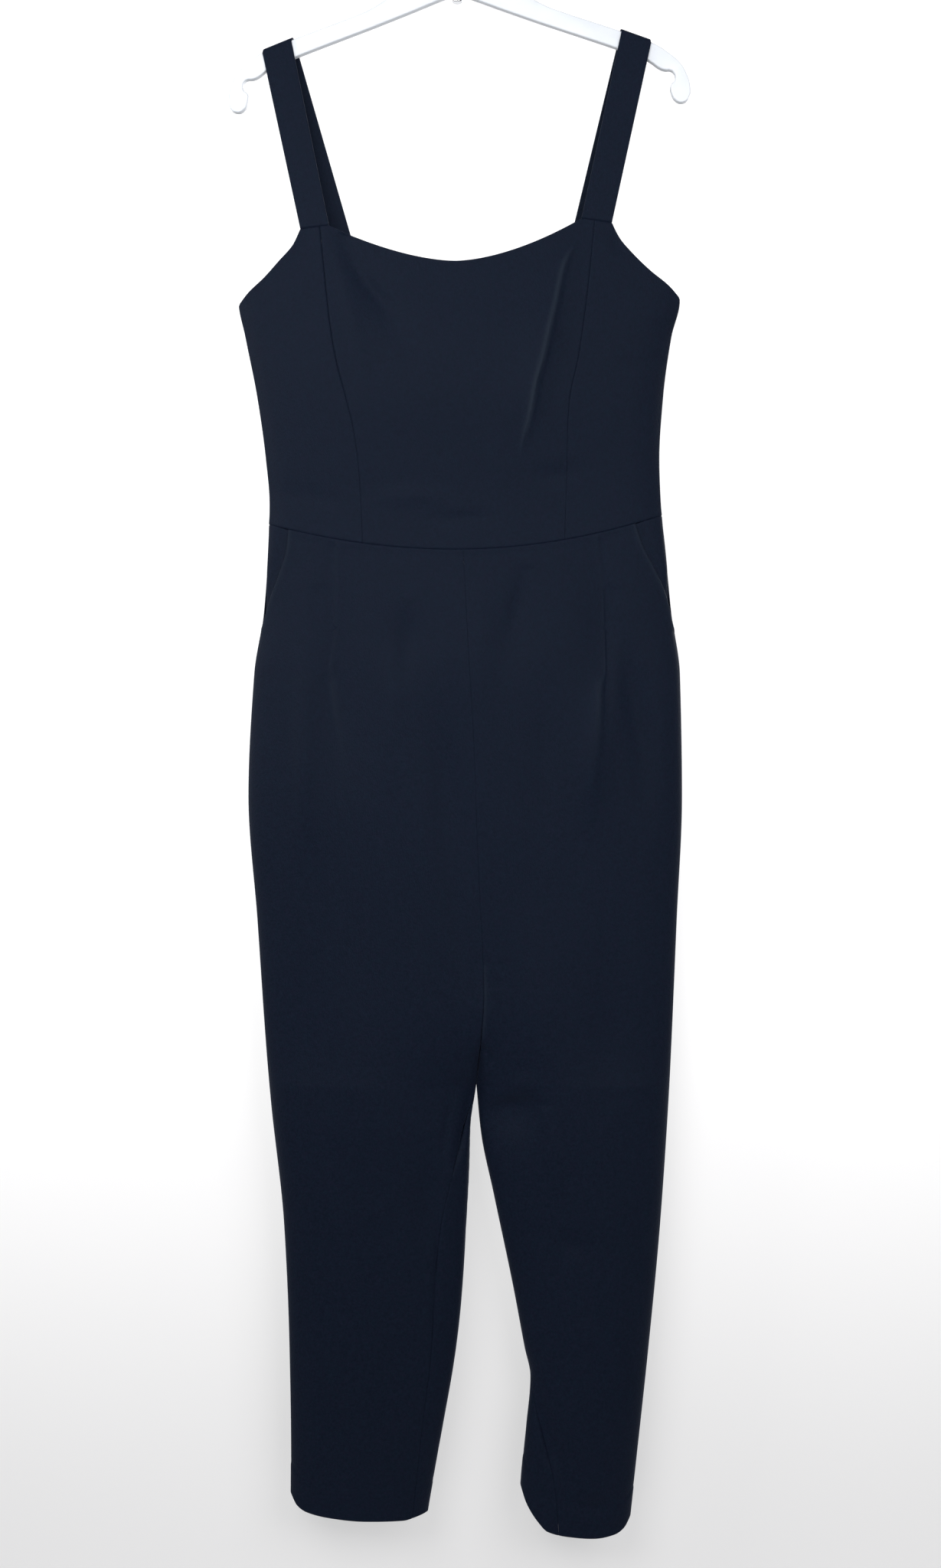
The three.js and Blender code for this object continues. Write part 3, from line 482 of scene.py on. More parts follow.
def depth_at(face, z):
    return table_value(OUTLINE, "front" if face == FRONT else "back", z)


def bodice_y(face, x, z):
    """The y of the bodice's outer face: a flattened oval section with its folds."""
    shape = across_at(x, z)
    return face * (depth_at(face, z) * shape + folds(face, x, z, shape))


def parted_at(z):
    """How far a trouser section has parted into two legs, from 0 to 1 at the crotch."""
    t = np.clip((CROTCH_START - z) / (CROTCH_START - CROTCH), 0, 1)
    return t**2.5


def trouser_point(side, turn, z):
    """A place on the trousers' outer face.

    turn goes round one leg: 0 is its outer edge, 0 to 1 its front, 0 to -1 its back,
    and past -1 the back goes on round to the front.
    """
    wrapped = np.where(turn < -1, turn + 2, turn)
    x = mix(edge_at(side, z), inner_at(side, z), (1 - np.cos(math.pi * wrapped)) / 2)
    leg_shape = np.abs(np.sin(math.pi * wrapped))
    body_shape = across_at(x, z)
    parted = parted_at(z)
    shape = mix(body_shape, leg_shape, parted)
    leg_depth = table_value(LEGS[side], "depth", z)
    y = np.zeros_like(x)
    for face in (FRONT, BACK):
        depth = mix(depth_at(face, z) * body_shape, leg_depth * leg_shape, parted)
        there = wrapped > 0 if face == FRONT else wrapped <= 0
        y = np.where(there, face * (depth + folds(face, x, z, shape)), y)
    return x, y


def turn_at(side, x, z):
    outer = edge_at(side, z)
    share = np.clip((x - outer) / (inner_at(side, z) - outer), 0, 1)
    return np.arccos(1 - 2 * share) / math.pi


def inseam_turn(side, z):
    return np.where(z > CROTCH, 1, table_value(LEGS[side], "seam", z))


def pocket_turn(side, z):
    mouth = turn_at(side, table_value(POCKETS[side], "x", z), z)
    return np.where(z <= POCKET_BOTTOM, 0, mouth)


def hem_at(side, x, z):
    outer = edge_at(side, z)
    share = np.clip((x - outer) / (inner_at(side, z) - outer), 0, 1)
    return table_value(HEMS[side], "z", share)


def bodice_top(face):
    """The bodice's upper edge: the straps' straight bases and the scoop between them."""

    def height(x, z=None):
        neck = curve_height(NECKS[face], x)
        for side in SIDES:
            outer, inner = STRAPS[side][face]["base"]
            share = np.clip((x - inner[0]) / (outer[0] - inner[0]), 0, 1)
            neck = np.where(side * x > abs(inner[0]), mix(inner[1], outer[1], share), neck)
        return neck

    return height


def bodice_limit(face, side, z):
    """The bodice's outer limit: its armhole, and below the underarm its side edge."""
    outer, _ = STRAPS[side][face]["base"]
    low = float(waist_at(edge_at(side, WAIST["low"])))
    underarm = mix(outer[1], low, UNDERARM_SHARE[face])
    t = (outer[1] - z) / (outer[1] - underarm)
    reach = (edge_at(side, underarm) - outer[0]) / table_value(ARMHOLE, SIDE_NAMES[side], 1)
    armhole = outer[0] + table_value(ARMHOLE, SIDE_NAMES[side], np.clip(t, 0, 1)) * reach
    return np.where(t >= 1, edge_at(side, z), armhole)


def underarm_at(face, side):
    outer, _ = STRAPS[side][face]["base"]
    return mix(outer[1], float(waist_at(edge_at(side, WAIST["low"]))), UNDERARM_SHARE[face])


# Meshes
def mesh_object(name, vertices, faces, material):
    mesh = bpy.data.meshes.new(name)
    mesh.from_pydata(vertices, [], faces)
    mesh.validate()
    mesh.update()
    mesh.materials.append(material)
    mesh.shade_smooth()
    thing = bpy.data.objects.new(name, mesh)
    bpy.context.scene.collection.objects.link(thing)
    return thing


def wall_object(name, outer, inner, material, painted_highlight=None):
    """A closed wall from a grid of outer points and one of inner points, in mm.

    Its outer face can be painted paler, as a painted highlight, by a share from 0 to 1 at each outer
    point.
    """
    rows, columns = outer.shape[:2]
    points = np.concatenate([outer.reshape(-1, 3), inner.reshape(-1, 3)]) * MM
    top = np.arange(rows * columns).reshape(rows, columns)
    low = top + rows * columns
    faces = []

    def band(a, b, c, d):
        faces.append(np.stack([a.ravel(), b.ravel(), c.ravel(), d.ravel()], 1))

    band(top[:-1, :-1], top[1:, :-1], top[1:, 1:], top[:-1, 1:])
    band(low[:-1, :-1], low[:-1, 1:], low[1:, 1:], low[1:, :-1])
    band(top[:-1, 0], low[:-1, 0], low[1:, 0], top[1:, 0])
    band(top[:-1, -1], top[1:, -1], low[1:, -1], low[:-1, -1])
    band(top[0, :-1], top[0, 1:], low[0, 1:], low[0, :-1])
    band(top[-1, :-1], low[-1, :-1], low[-1, 1:], top[-1, 1:])
    made = mesh_object(name, points.tolist(), np.concatenate(faces).tolist(), material)
    cleaner = bmesh.new()
    cleaner.from_mesh(made.data)
    bmesh.ops.recalc_face_normals(cleaner, faces=cleaner.faces)
    cleaner.to_mesh(made.data)
    cleaner.free()
    # A point attribute for the painted highlights: how far each outer point's colour is painted paler
    highlight_attribute = made.data.attributes.new("painted_highlight", "FLOAT", "POINT")
    if painted_highlight is not None:
        values = np.concatenate([painted_highlight.ravel(), np.zeros(painted_highlight.size)])
        highlight_attribute.data.foreach_set("value", values.astype(np.float32))
    return made


def spread(start, end, count):
    """Places from start to end that are close together near both ends."""
    steps = np.array(EDGE_STEPS)
    middle = np.linspace(start + steps[-1], end - steps[-1], count)
    return np.concatenate([start + steps[:-1], middle, end - steps[:-1][::-1]])


DENSE = np.linspace(0, 1, 401)
EDGE_TURNS = 12


def edge_heights(at, edge):
    z = np.full_like(DENSE, -900.0)
    for _ in range(EDGE_TURNS):
        z = edge(at(DENSE, z)[0], z)
    return z


def normals_of(points, face):
    along = np.gradient(points, axis=1)
    down = np.gradient(points, axis=0)
    normal = np.cross(along, down)
    normal /= np.maximum(np.linalg.norm(normal, axis=2, keepdims=True), 1e-9)
    middle = normal[:, normal.shape[1] // 2, 1].mean()
    return normal * (np.sign(middle) * face)


def rounding(distance, radius):
    """How far a rounded edge drops at each distance in from it."""
    short = np.clip(radius - distance, 0, radius)
    return radius - np.sqrt(radius * radius - short * short)


def seam_drop(distance):
    near = np.clip(1 - distance / SEAM_REACH, 0, 1) ** 2
    allowance = smooth(1 - distance / SEAM_ALLOWANCE)
    return SEAM_DROP * near - SEAM_LIFT * allowance


def panel(name, face, at, top, bottom, ends, lines=(), inset=None, relief=None, depths=None, painted_highlight=None):
    """One panel of cloth, as a fine closed shell.

    at(u, z) is a place on its outer face, top and bottom are its edges, lines are lines
    of x by z that columns follow, and ends gives how much of each edge is sewn: start,
    end, top and bottom, each a share or a function of z. depths does so for how far a
    seam sinks.
    """
    start, end = edge_heights(at, top), edge_heights(at, bottom)
    length = float(np.mean(start - end))
    rows = spread(0, length, max(6, round(length / GRID)))
    middle = len(DENSE) // 2
    stretch = (start[middle] - end[middle]) / length
    grid_u, reach, total = [], [], []
    counts = None
    for place in rows:
        z = start[middle] - place * stretch
        x, y = at(DENSE, np.full_like(DENSE, z))
        arc = np.concatenate([[0], np.cumsum(np.hypot(np.diff(x), np.diff(y)))])
        rising = x[-1] > x[0]
        stops = [SEAM_GAP]
        for line in lines:
            wanted = float(line(z))
            stops.append(float(np.interp(wanted if rising else -wanted, x if rising else -x, arc)))
        stops.append(arc[-1] - SEAM_GAP)
        if counts is None:
            counts = [max(4, round((b - a) / GRID)) for a, b in zip(stops, stops[1:])]
        pieces = [spread(a, b, n) for (a, b), n in zip(zip(stops, stops[1:]), counts)]
        places = np.concatenate([pieces[0]] + [piece[1:] for piece in pieces[1:]])
        grid_u.append(np.interp(places, arc, DENSE))
        reach.append(places)
        total.append(arc[-1])
    u, reach, total = np.array(grid_u), np.array(reach), np.array(total)[:, None]
    high, low = np.interp(u, DENSE, start), np.interp(u, DENSE, end)
    z = high - SEAM_GAP - (rows[:, None] / length) * (high - low - 2 * SEAM_GAP)
    x, y = at(u, z)
    face_points = np.stack([x, y, z], 2)
    normal = normals_of(face_points, face)

    distances = {"start": reach, "end": total - reach, "top": high - z, "bottom": z - low}
    sunk = np.zeros_like(z)
    round_in = np.zeros_like(z)
    for key, distance in distances.items():
        sewn = ends[key](z) if callable(ends[key]) else ends[key]
        depth = (depths or {}).get(key, lambda z: 1)(z)
        sunk = sunk + sewn * depth * seam_drop(distance)
        round_in = np.maximum(round_in, (1 - sewn) * rounding(distance, CLOTH / 2))
    if inset is not None:
        sunk = sunk + inset(u, z, x)
    if relief is not None:
        sunk = sunk - relief(u, z, x)
    outer = face_points - normal * (sunk + round_in)[..., None]
    inner = face_points - normal * (sunk + CLOTH - round_in)[..., None]
    # How far each point is painted paler as a painted highlight
    highlight_share = np.zeros_like(z) if painted_highlight is None else painted_highlight(x, z)
    return wall_object(name, outer, inner, CREPE, highlight_share)


# Creases and stitched lines
PLEAT_DEPTH = 1.1
PLEAT_SHARP = 0.7
PLEAT_WIDTH = 9
PLEAT_FADE = 90
RIDGE_HEIGHT = 3.2
RIDGE_ENDS = (-322, -345, -480, -535)
HEM_LINE_DEPTH = 0.28
HEM_LINE_WIDTH = 1.6
WAIST_LINE = 6.5
PRINCESS_DEPTHS = {RIGHT: (2, 0.5), LEFT: (1, 0.25)}
INSEAM_CREASE = 4.5
POCKET_EDGE_LIFT = 0.7
DARTS = {RIGHT: table("z x", (-600, -84), (-480, -76)), LEFT: table("z x", (-596, 98), (-478, 90))}
DART_DEPTH = 0.45


def pleat_step(side, x, z):
    """The pleat's outer layer stands over the cloth beside it, down to where its stitching ends."""
    away = side * (x - table_value(PLEATS[side], "x", z))
    step = -np.tanh(away / PLEAT_SHARP) * np.exp(-np.abs(away) / PLEAT_WIDTH)
    below_waist = smooth((waist_at(x) - z) / 8)
    return PLEAT_DEPTH / 2 * step * smooth((z - PLEAT_END) / 14 + 0.4) * below_waist


def pleat_tail(side, x, z):
    """Below the stitching the pleat opens into one soft fold."""
    away = side * (x - table_value(PLEATS[side], "x", z))
    below = smooth((PLEAT_END - z) / 16 + 0.5) * smooth(1 - (PLEAT_END - z) / PLEAT_FADE)
    return below * (1.3 * np.exp(-(((away + 4) / 4.5) ** 2)) - 1.5 * np.exp(-(((away - 3.5) / 3.5) ** 2)))


def ridge_lift(x, z):
    away = x - table_value(RIDGE, "x", z)
    body = np.where(away < 0, np.exp(-np.abs(away) / 3.2), np.exp(-((away / 4) ** 2)))
    groove = np.exp(-(((away - 6) / 2.2) ** 2))
    top, high, low, bottom = RIDGE_ENDS
    share = smooth((top - z) / (top - high)) * smooth((z - bottom) / (low - bottom))
    return share * (RIDGE_HEIGHT * body - 0.6 * groove)


def ridge_highlight(x, z):
    """A painted highlight: the ridge's crest is painted paler than the cloth round it."""
    away = x - table_value(RIDGE, "x", z)
    top, high, low, bottom = RIDGE_ENDS
    share = smooth((top - z) / (top - high)) * smooth((z - bottom) / (low - bottom))
    return 0.6 * share * highlight_line(away + 0.8, 2.2)


def highlight_line(away, width):
    return np.exp(-((away / width) ** 2))


def trouser_highlight(side, x, z):
    """Painted highlights: paler lines on the folds below the pleats, the pocket's edge and the seam above
    the crotch.
    """
    pleat = side * (x - table_value(PLEATS[side], "x", z))
    below = smooth((PLEAT_END - z) / 12 + 0.4) * smooth(1 - (PLEAT_END - z) / 110)
    stitched = smooth((z - PLEAT_END) / 12)
    mouth = side * (x - table_value(POCKETS[side], "x", z))
    seam = np.abs(x - table_value(CENTRE_SEAM, "x", z) - 1.6)
    seat = smooth((-1000 - z) / 12) * smooth((z + 1078) / 12)
    total = 0.25 * below * highlight_line(pleat + 4, 3) + 0.1 * stitched * highlight_line(pleat + 1.6, 1.6)
    total = total + 0.35 * (z > POCKET_BOTTOM) * highlight_line(mouth + 1.2, 1.6)
    return total + 0.35 * seat * highlight_line(seam, 1.3)


def stitch_line(distance, depth, width):
    return -depth * np.exp(-((distance / width) ** 2))


def hem_relief(side, x, z):
    """A turned-up hem stands a little proud, and its stitching draws the cloth in."""
    above = z - hem_at(side, x, z) - HEM_HEIGHT
    return 0.3 * smooth(0.5 - above / 3) + stitch_line(above - 0.6, HEM_LINE_DEPTH, HEM_LINE_WIDTH)


def pucker(along, distance, reach, height):
    """Fine uneven ripples beside a line of stitching."""
    wave = np.sin(along * 0.37 + 1.3 * np.sin(along * 0.083)) + 0.6 * np.sin(along * 0.71 + 2)
    return height * wave * np.exp(-distance / reach)


def waist_relief(x, z, sign):
    distance = np.abs(z - waist_at(x))
    return pucker(x, distance, 5, 0.1) - 0.25 * np.exp(-(((distance - WAIST_LINE) / 2) ** 2)) * sign


def dart_relief(side, x, z):
    line = DARTS[side]
    away = np.abs(x - table_value(line, "x", z))
    ends = smooth((z - line["z"][0]) / 8 + 0.6) * smooth((line["z"][-1] - z) / 30)
    return -DART_DEPTH * ends * (np.exp(-((away / 1.1) ** 2)) + 0.4 * np.exp(-((away / 6) ** 2)))


# Materials
def new_material(name):
    material = bpy.data.materials.new(name)
    material.use_nodes = True
    nodes = material.node_tree.nodes
    nodes.clear()
    return material, nodes, material.node_tree.links


def noise(nodes, links, source, scale, detail, rough=0.5):
    """The output of a noise texture laid on a coordinate node's object space."""
    texture = nodes.new("ShaderNodeTexNoise")
    texture.inputs["Scale"].default_value = scale
    texture.inputs["Detail"].default_value = detail
    texture.inputs["Roughness"].default_value = rough
    place = source.outputs["Object"] if "Object" in source.outputs else source.outputs["Vector"]
    links.new(place, texture.inputs["Vector"])
    return texture.outputs["Fac"]


def crepe_material():
    material, nodes, links = new_material("navy_crepe")
    output = nodes.new("ShaderNodeOutputMaterial")
    shader = nodes.new("ShaderNodeBsdfPrincipled")
    shader.inputs["Sheen Weight"].default_value = 0.06
    shader.inputs["Sheen Roughness"].default_value = 0.45
    shader.inputs["Sheen Tint"].default_value = (0.55, 0.66, 1, 1)
    shader.inputs["Specular IOR Level"].default_value = 0.085
    shader.inputs["Specular Tint"].default_value = (0.78, 0.89, 1, 1)
    links.new(shader.outputs["BSDF"], output.inputs["Surface"])
    place = nodes.new("ShaderNodeTexCoord")

    shade = noise(nodes, links, place, 5, 3)
    fleck = noise(nodes, links, place, 430, 6, 0.75)
    total = nodes.new("ShaderNodeMath")
    total.operation = "MULTIPLY_ADD"
    links.new(shade, total.inputs[0])
    total.inputs[1].default_value = 0.12
    links.new(fleck, total.inputs[2])
    ramp = nodes.new("ShaderNodeValToRGB")
    ramp.color_ramp.elements[0].position = 0.38
    ramp.color_ramp.elements[0].color = (0.0006, 0.0028, 0.0084, 1)
    ramp.color_ramp.elements[1].position = 0.74
    ramp.color_ramp.elements[1].color = (0.0046, 0.0074, 0.0170, 1)
    links.new(total.outputs["Value"], ramp.inputs["Fac"])
    tint = noise(nodes, links, place, 260, 3, 0.7)
    hue = nodes.new("ShaderNodeMix")
    hue.data_type = "RGBA"
    hue.blend_type = "MULTIPLY"
    hue.inputs["Factor"].default_value = 1
    tones = nodes.new("ShaderNodeValToRGB")
    tones.color_ramp.elements[0].position = 0.36
    tones.color_ramp.elements[0].color = (0.72, 1, 1, 1)
    tones.color_ramp.elements[1].position = 0.64
    tones.color_ramp.elements[1].color = (1, 0.82, 0.96, 1)
    links.new(tint, tones.inputs["Fac"])
    links.new(ramp.outputs["Color"], hue.inputs["A"])
    links.new(tones.outputs["Color"], hue.inputs["B"])
    # Painted highlight: a mesh attribute mixes the base colour towards a paler navy along crests and edges
    # that should catch the light
    painted_highlight = nodes.new("ShaderNodeAttribute")
    painted_highlight.attribute_name = "painted_highlight"
    highlighted_colour = nodes.new("ShaderNodeMix")
    highlighted_colour.data_type = "RGBA"
    highlighted_colour.inputs["B"].default_value = (0.0100, 0.0150, 0.0240, 1)
    links.new(painted_highlight.outputs["Fac"], highlighted_colour.inputs["Factor"])
    links.new(hue.outputs["Result"], highlighted_colour.inputs["A"])
    links.new(highlighted_colour.outputs["Result"], shader.inputs["Base Color"])
    matt = nodes.new("ShaderNodeMapRange")
    matt.inputs["From Min"].default_value = 0.3
    matt.inputs["From Max"].default_value = 0.7
    matt.inputs["To Min"].default_value = 0.56
    matt.inputs["To Max"].default_value = 0.68
    links.new(fleck, matt.inputs["Value"])
    links.new(matt.outputs["Result"], shader.inputs["Roughness"])

    stretch = nodes.new("ShaderNodeMapping")
    stretch.inputs["Scale"].default_value = (1, 1, 0.5)
    links.new(place.outputs["Object"], stretch.inputs["Vector"])
    grain = noise(nodes, links, stretch, 820, 4, 0.6)
    pebble = nodes.new("ShaderNodeTexVoronoi")
    pebble.inputs["Scale"].default_value = 900
    links.new(stretch.outputs["Vector"], pebble.inputs["Vector"])
    height = nodes.new("ShaderNodeMath")
    height.operation = "MULTIPLY_ADD"
    links.new(pebble.outputs["Distance"], height.inputs[0])
    height.inputs[1].default_value = 0.6
    links.new(grain, height.inputs[2])
    bump = nodes.new("ShaderNodeBump")
    bump.inputs["Strength"].default_value = 0.55
    bump.inputs["Distance"].default_value = 0.0004
    links.new(height.outputs["Value"], bump.inputs["Height"])
    links.new(bump.outputs["Normal"], shader.inputs["Normal"])
    return material


def plastic_material():
    material, nodes, links = new_material("white_plastic")
    output = nodes.new("ShaderNodeOutputMaterial")
    shader = nodes.new("ShaderNodeBsdfPrincipled")
    shader.inputs["Subsurface Weight"].default_value = 0.15
    shader.inputs["Subsurface Radius"].default_value = (0.002, 0.002, 0.002)
    links.new(shader.outputs["BSDF"], output.inputs["Surface"])
    place = nodes.new("ShaderNodeTexCoord")
    cloud = nodes.new("ShaderNodeTexNoise")
    cloud.inputs["Scale"].default_value = 35
    cloud.inputs["Detail"].default_value = 4
    links.new(place.outputs["Object"], cloud.inputs["Vector"])
    tone = nodes.new("ShaderNodeValToRGB")
    tone.color_ramp.elements[0].color = (0.60, 0.64, 0.69, 1)
    tone.color_ramp.elements[1].color = (0.70, 0.73, 0.77, 1)
    links.new(cloud.outputs["Fac"], tone.inputs["Fac"])
    links.new(tone.outputs["Color"], shader.inputs["Base Color"])
    gloss = nodes.new("ShaderNodeMapRange")
    gloss.inputs["To Min"].default_value = 0.26
    gloss.inputs["To Max"].default_value = 0.42
    links.new(cloud.outputs["Fac"], gloss.inputs["Value"])
    links.new(gloss.outputs["Result"], shader.inputs["Roughness"])
    grain = nodes.new("ShaderNodeTexNoise")
    grain.inputs["Scale"].default_value = 420
    links.new(place.outputs["Object"], grain.inputs["Vector"])
    bump = nodes.new("ShaderNodeBump")
    bump.inputs["Strength"].default_value = 0.06
    bump.inputs["Distance"].default_value = 0.0004
    links.new(grain.outputs["Fac"], bump.inputs["Height"])
    links.new(bump.outputs["Normal"], shader.inputs["Normal"])
    return material


def steel_material():
    material, nodes, links = new_material("hook_steel")
    output = nodes.new("ShaderNodeOutputMaterial")
    shader = nodes.new("ShaderNodeBsdfPrincipled")
    shader.inputs["Metallic"].default_value = 1
    links.new(shader.outputs["BSDF"], output.inputs["Surface"])
    place = nodes.new("ShaderNodeTexCoord")
    cloud = nodes.new("ShaderNodeTexNoise")
    cloud.inputs["Scale"].default_value = 180
    cloud.inputs["Detail"].default_value = 6
    links.new(place.outputs["Object"], cloud.inputs["Vector"])
    tone = nodes.new("ShaderNodeValToRGB")
    tone.color_ramp.elements[0].color = (0.52, 0.53, 0.55, 1)
    tone.color_ramp.elements[1].color = (0.72, 0.73, 0.75, 1)
    links.new(cloud.outputs["Fac"], tone.inputs["Fac"])
    links.new(tone.outputs["Color"], shader.inputs["Base Color"])
    gloss = nodes.new("ShaderNodeMapRange")
    gloss.inputs["To Min"].default_value = 0.14
    gloss.inputs["To Max"].default_value = 0.3
    links.new(cloud.outputs["Fac"], gloss.inputs["Value"])
    links.new(gloss.outputs["Result"], shader.inputs["Roughness"])
    return material


def wall_material():
    """Pale from the front, brighter high up, and nothing at all from behind."""
    material, nodes, links = new_material("backdrop")
    output = nodes.new("ShaderNodeOutputMaterial")
    shader = nodes.new("ShaderNodeBsdfPrincipled")
    shader.inputs["Base Color"].default_value = (0.33, 0.33, 0.335, 1)
    shader.inputs["Emission Color"].default_value = (1, 1, 1, 1)
    shader.inputs["Roughness"].default_value = 0.95
    place = nodes.new("ShaderNodeTexCoord")
    parts = nodes.new("ShaderNodeSeparateXYZ")
    links.new(place.outputs["Object"], parts.inputs["Vector"])
    glow = nodes.new("ShaderNodeMapRange")
    glow.interpolation_type = "SMOOTHSTEP"
    for key, value in zip(("From Min", "From Max", "To Min", "To Max"), WALL_GLOW):
        glow.inputs[key].default_value = value
    links.new(parts.outputs["Z"], glow.inputs["Value"])
    links.new(glow.outputs["Result"], shader.inputs["Emission Strength"])
    clear = nodes.new("ShaderNodeBsdfTransparent")
    side = nodes.new("ShaderNodeNewGeometry")
    choose = nodes.new("ShaderNodeMixShader")
    links.new(side.outputs["Backfacing"], choose.inputs["Fac"])
    links.new(shader.outputs["BSDF"], choose.inputs[1])
    links.new(clear.outputs["BSDF"], choose.inputs[2])
    links.new(choose.outputs["Shader"], output.inputs["Surface"])
    return material


def floor_material():
    material, nodes, links = new_material("floor")
    output = nodes.new("ShaderNodeOutputMaterial")
    shader = nodes.new("ShaderNodeBsdfPrincipled")
    shader.inputs["Base Color"].default_value = (0.6, 0.6, 0.605, 1)
    shader.inputs["Emission Color"].default_value = (1, 1, 1, 1)
    shader.inputs["Emission Strength"].default_value = 0.25
    shader.inputs["Roughness"].default_value = 0.95
    links.new(shader.outputs["BSDF"], output.inputs["Surface"])
    return material


CREPE = crepe_material()
PLASTIC = plastic_material()
STEEL = steel_material()
WALL_GLOW = (-1.6, -0.8, 0.46, 0.8)
WALL = wall_material()
FLOOR = floor_material()


# The garment's panels
def princess_depth(side):
    """The princess seams sink at the bust and fade towards the waist."""
    strong, weak = PRINCESS_DEPTHS[side]
    return lambda z: mix(weak, strong, smooth((z + 560) / 130))


def centre_depth(side):
    """The centre seam hardly shows on the belly and sinks towards the crotch.

    The right leg's inseam goes on as a deep crease that ends above the knee.
    """
    crease = INSEAM_CREASE if side == RIGHT else 0.8

    def depth(z):
        seat = mix(0.05, 0.9, smooth((-960 - z) / 90))
        leg = mix(crease, 0.5, smooth((-1185 - z) / 25))
        return np.where(z > CROTCH, seat, mix(0.9, leg, smooth((CROTCH - z) / 12)))

    return depth


def back_seat_depth(z):
    """The back's centre seam runs out before the crotch, so that nothing shows through it."""
    seat = 1 - smooth((-1020 - z) / 40)
    return np.where(z > CROTCH, seat, smooth((CROTCH - z) / 15))


def bodice_centre():
    def at(u, z):
        x = mix(princess_at(RIGHT, z), princess_at(LEFT, z), u)
        return x, bodice_y(FRONT, x, z)

    ends = dict(start=1, end=1, top=0, bottom=1)
    lines = [lambda z: table_value(RIDGE, "x", z)]

    def relief(u, z, x):
        beside = np.minimum(x - princess_at(RIGHT, z), princess_at(LEFT, z) - x)
        return ridge_lift(x, z) + pucker(z, beside, 5, 0.1) + waist_relief(x, z, 0)

    depths = dict(start=princess_depth(RIGHT), end=princess_depth(LEFT))
    name = "bodice_front_centre_cloth"
    top = bodice_top(FRONT)
    # The ridge's crest gets a painted highlight
    return panel(
        name, FRONT, at, top, waist_at, ends, lines, relief=relief, depths=depths, painted_highlight=ridge_highlight
    )


def finer_first(u):
    return 1 - np.cos(math.pi * u / 2)


def finer_both(u):
    return (1 - np.cos(math.pi * u)) / 2


def sewn_below(height):
    """An edge that is sewn below a height and free above it."""
    return lambda z: smooth((height - z) / 3 + 0.5)


def bodice_side(side):
    def at(u, z):
        x = mix(bodice_limit(FRONT, side, z), princess_at(side, z), finer_first(u))
        return x, bodice_y(FRONT, x, z)

    ends = dict(start=sewn_below(underarm_at(FRONT, side)), end=1, top=0.6, bottom=1)

    def relief(u, z, x):
        beside = np.abs(princess_at(side, z) - x)
        return pucker(z + 40, beside, 5, 0.1) + waist_relief(x, z, 0)

    name = f"bodice_front_{SIDE_NAMES[side]}_cloth"
    depths = dict(end=princess_depth(side))
    return panel(name, FRONT, at, bodice_top(FRONT), waist_at, ends, relief=relief, depths=depths)


def bodice_back():
    def at(u, z):
        x = mix(bodice_limit(BACK, RIGHT, z), bodice_limit(BACK, LEFT, z), finer_both(u))
        return x, bodice_y(BACK, x, z)

    ends = dict(
        start=sewn_below(underarm_at(BACK, RIGHT)),
        end=sewn_below(underarm_at(BACK, LEFT)),
        top=0,
        bottom=1,
    )

    def relief(u, z, x):
        return sum(dart_relief(side, x, z) for side in SIDES) + waist_relief(x, z, 0)

    return panel("bodice_back_cloth", BACK, at, bodice_top(BACK), waist_at, ends, relief=relief)


def trouser_front(side):
    def at(u, z):
        return trouser_point(side, mix(pocket_turn(side, z), inseam_turn(side, z), u), z)

    ends = dict(start=sewn_below(POCKET_BOTTOM), end=1, top=1, bottom=0)
    name = f"trouser_front_{SIDE_NAMES[side]}_cloth"
    lines = [lambda z: table_value(PLEATS[side], "x", z)]

    def relief(u, z, x):
        seam = np.abs(x - table_value(CENTRE_SEAM, "x", z)) + 30 * (z < CROTCH)
        mouth = np.abs(x - table_value(POCKETS[side], "x", z)) + 30 * (z < POCKET_BOTTOM)
        lift = pleat_step(side, x, z) + pleat_tail(side, x, z) + hem_relief(side, x, z)
        lift = lift + POCKET_EDGE_LIFT * np.exp(-((mouth / 4) ** 2))
        low_seam = smooth((-940 - z) / 60) * smooth((z + 1100) / 30)
        return lift + waist_relief(x, z, 1) + pucker(z, seam, 6, 0.12) * low_seam

    def hem(x, z):
        return hem_at(side, x, z)

    # Painted highlights along the pleats, the pocket's edge and the seam above the crotch
    def painted_highlight(x, z):
        return trouser_highlight(side, x, z)

    depths = dict(end=centre_depth(side))
    return panel(name, FRONT, at, waist_at, hem, ends, lines, relief=relief, depths=depths, painted_highlight=painted_highlight)


def trouser_back(side):
    def at(u, z):
        return trouser_point(side, -u * (2 - inseam_turn(side, z)), z)

    ends = dict(start=1, end=1, top=1, bottom=0)
    name = f"trouser_back_{SIDE_NAMES[side]}_cloth"

    def relief(u, z, x):
        seam = np.abs(x - table_value(CENTRE_SEAM, "x", z)) + 30 * (z < CROTCH)
        ripples = pucker(z + 25, seam, 6, 0.12) * smooth((z + 1080) / 40)
        return hem_relief(side, x, z) + waist_relief(x, z, 1) + ripples

    def hem(x, z):
        return hem_at(side, x, z)

    depths = dict(end=back_seat_depth)
    return panel(name, BACK, at, waist_at, hem, ends, relief=relief, depths=depths)


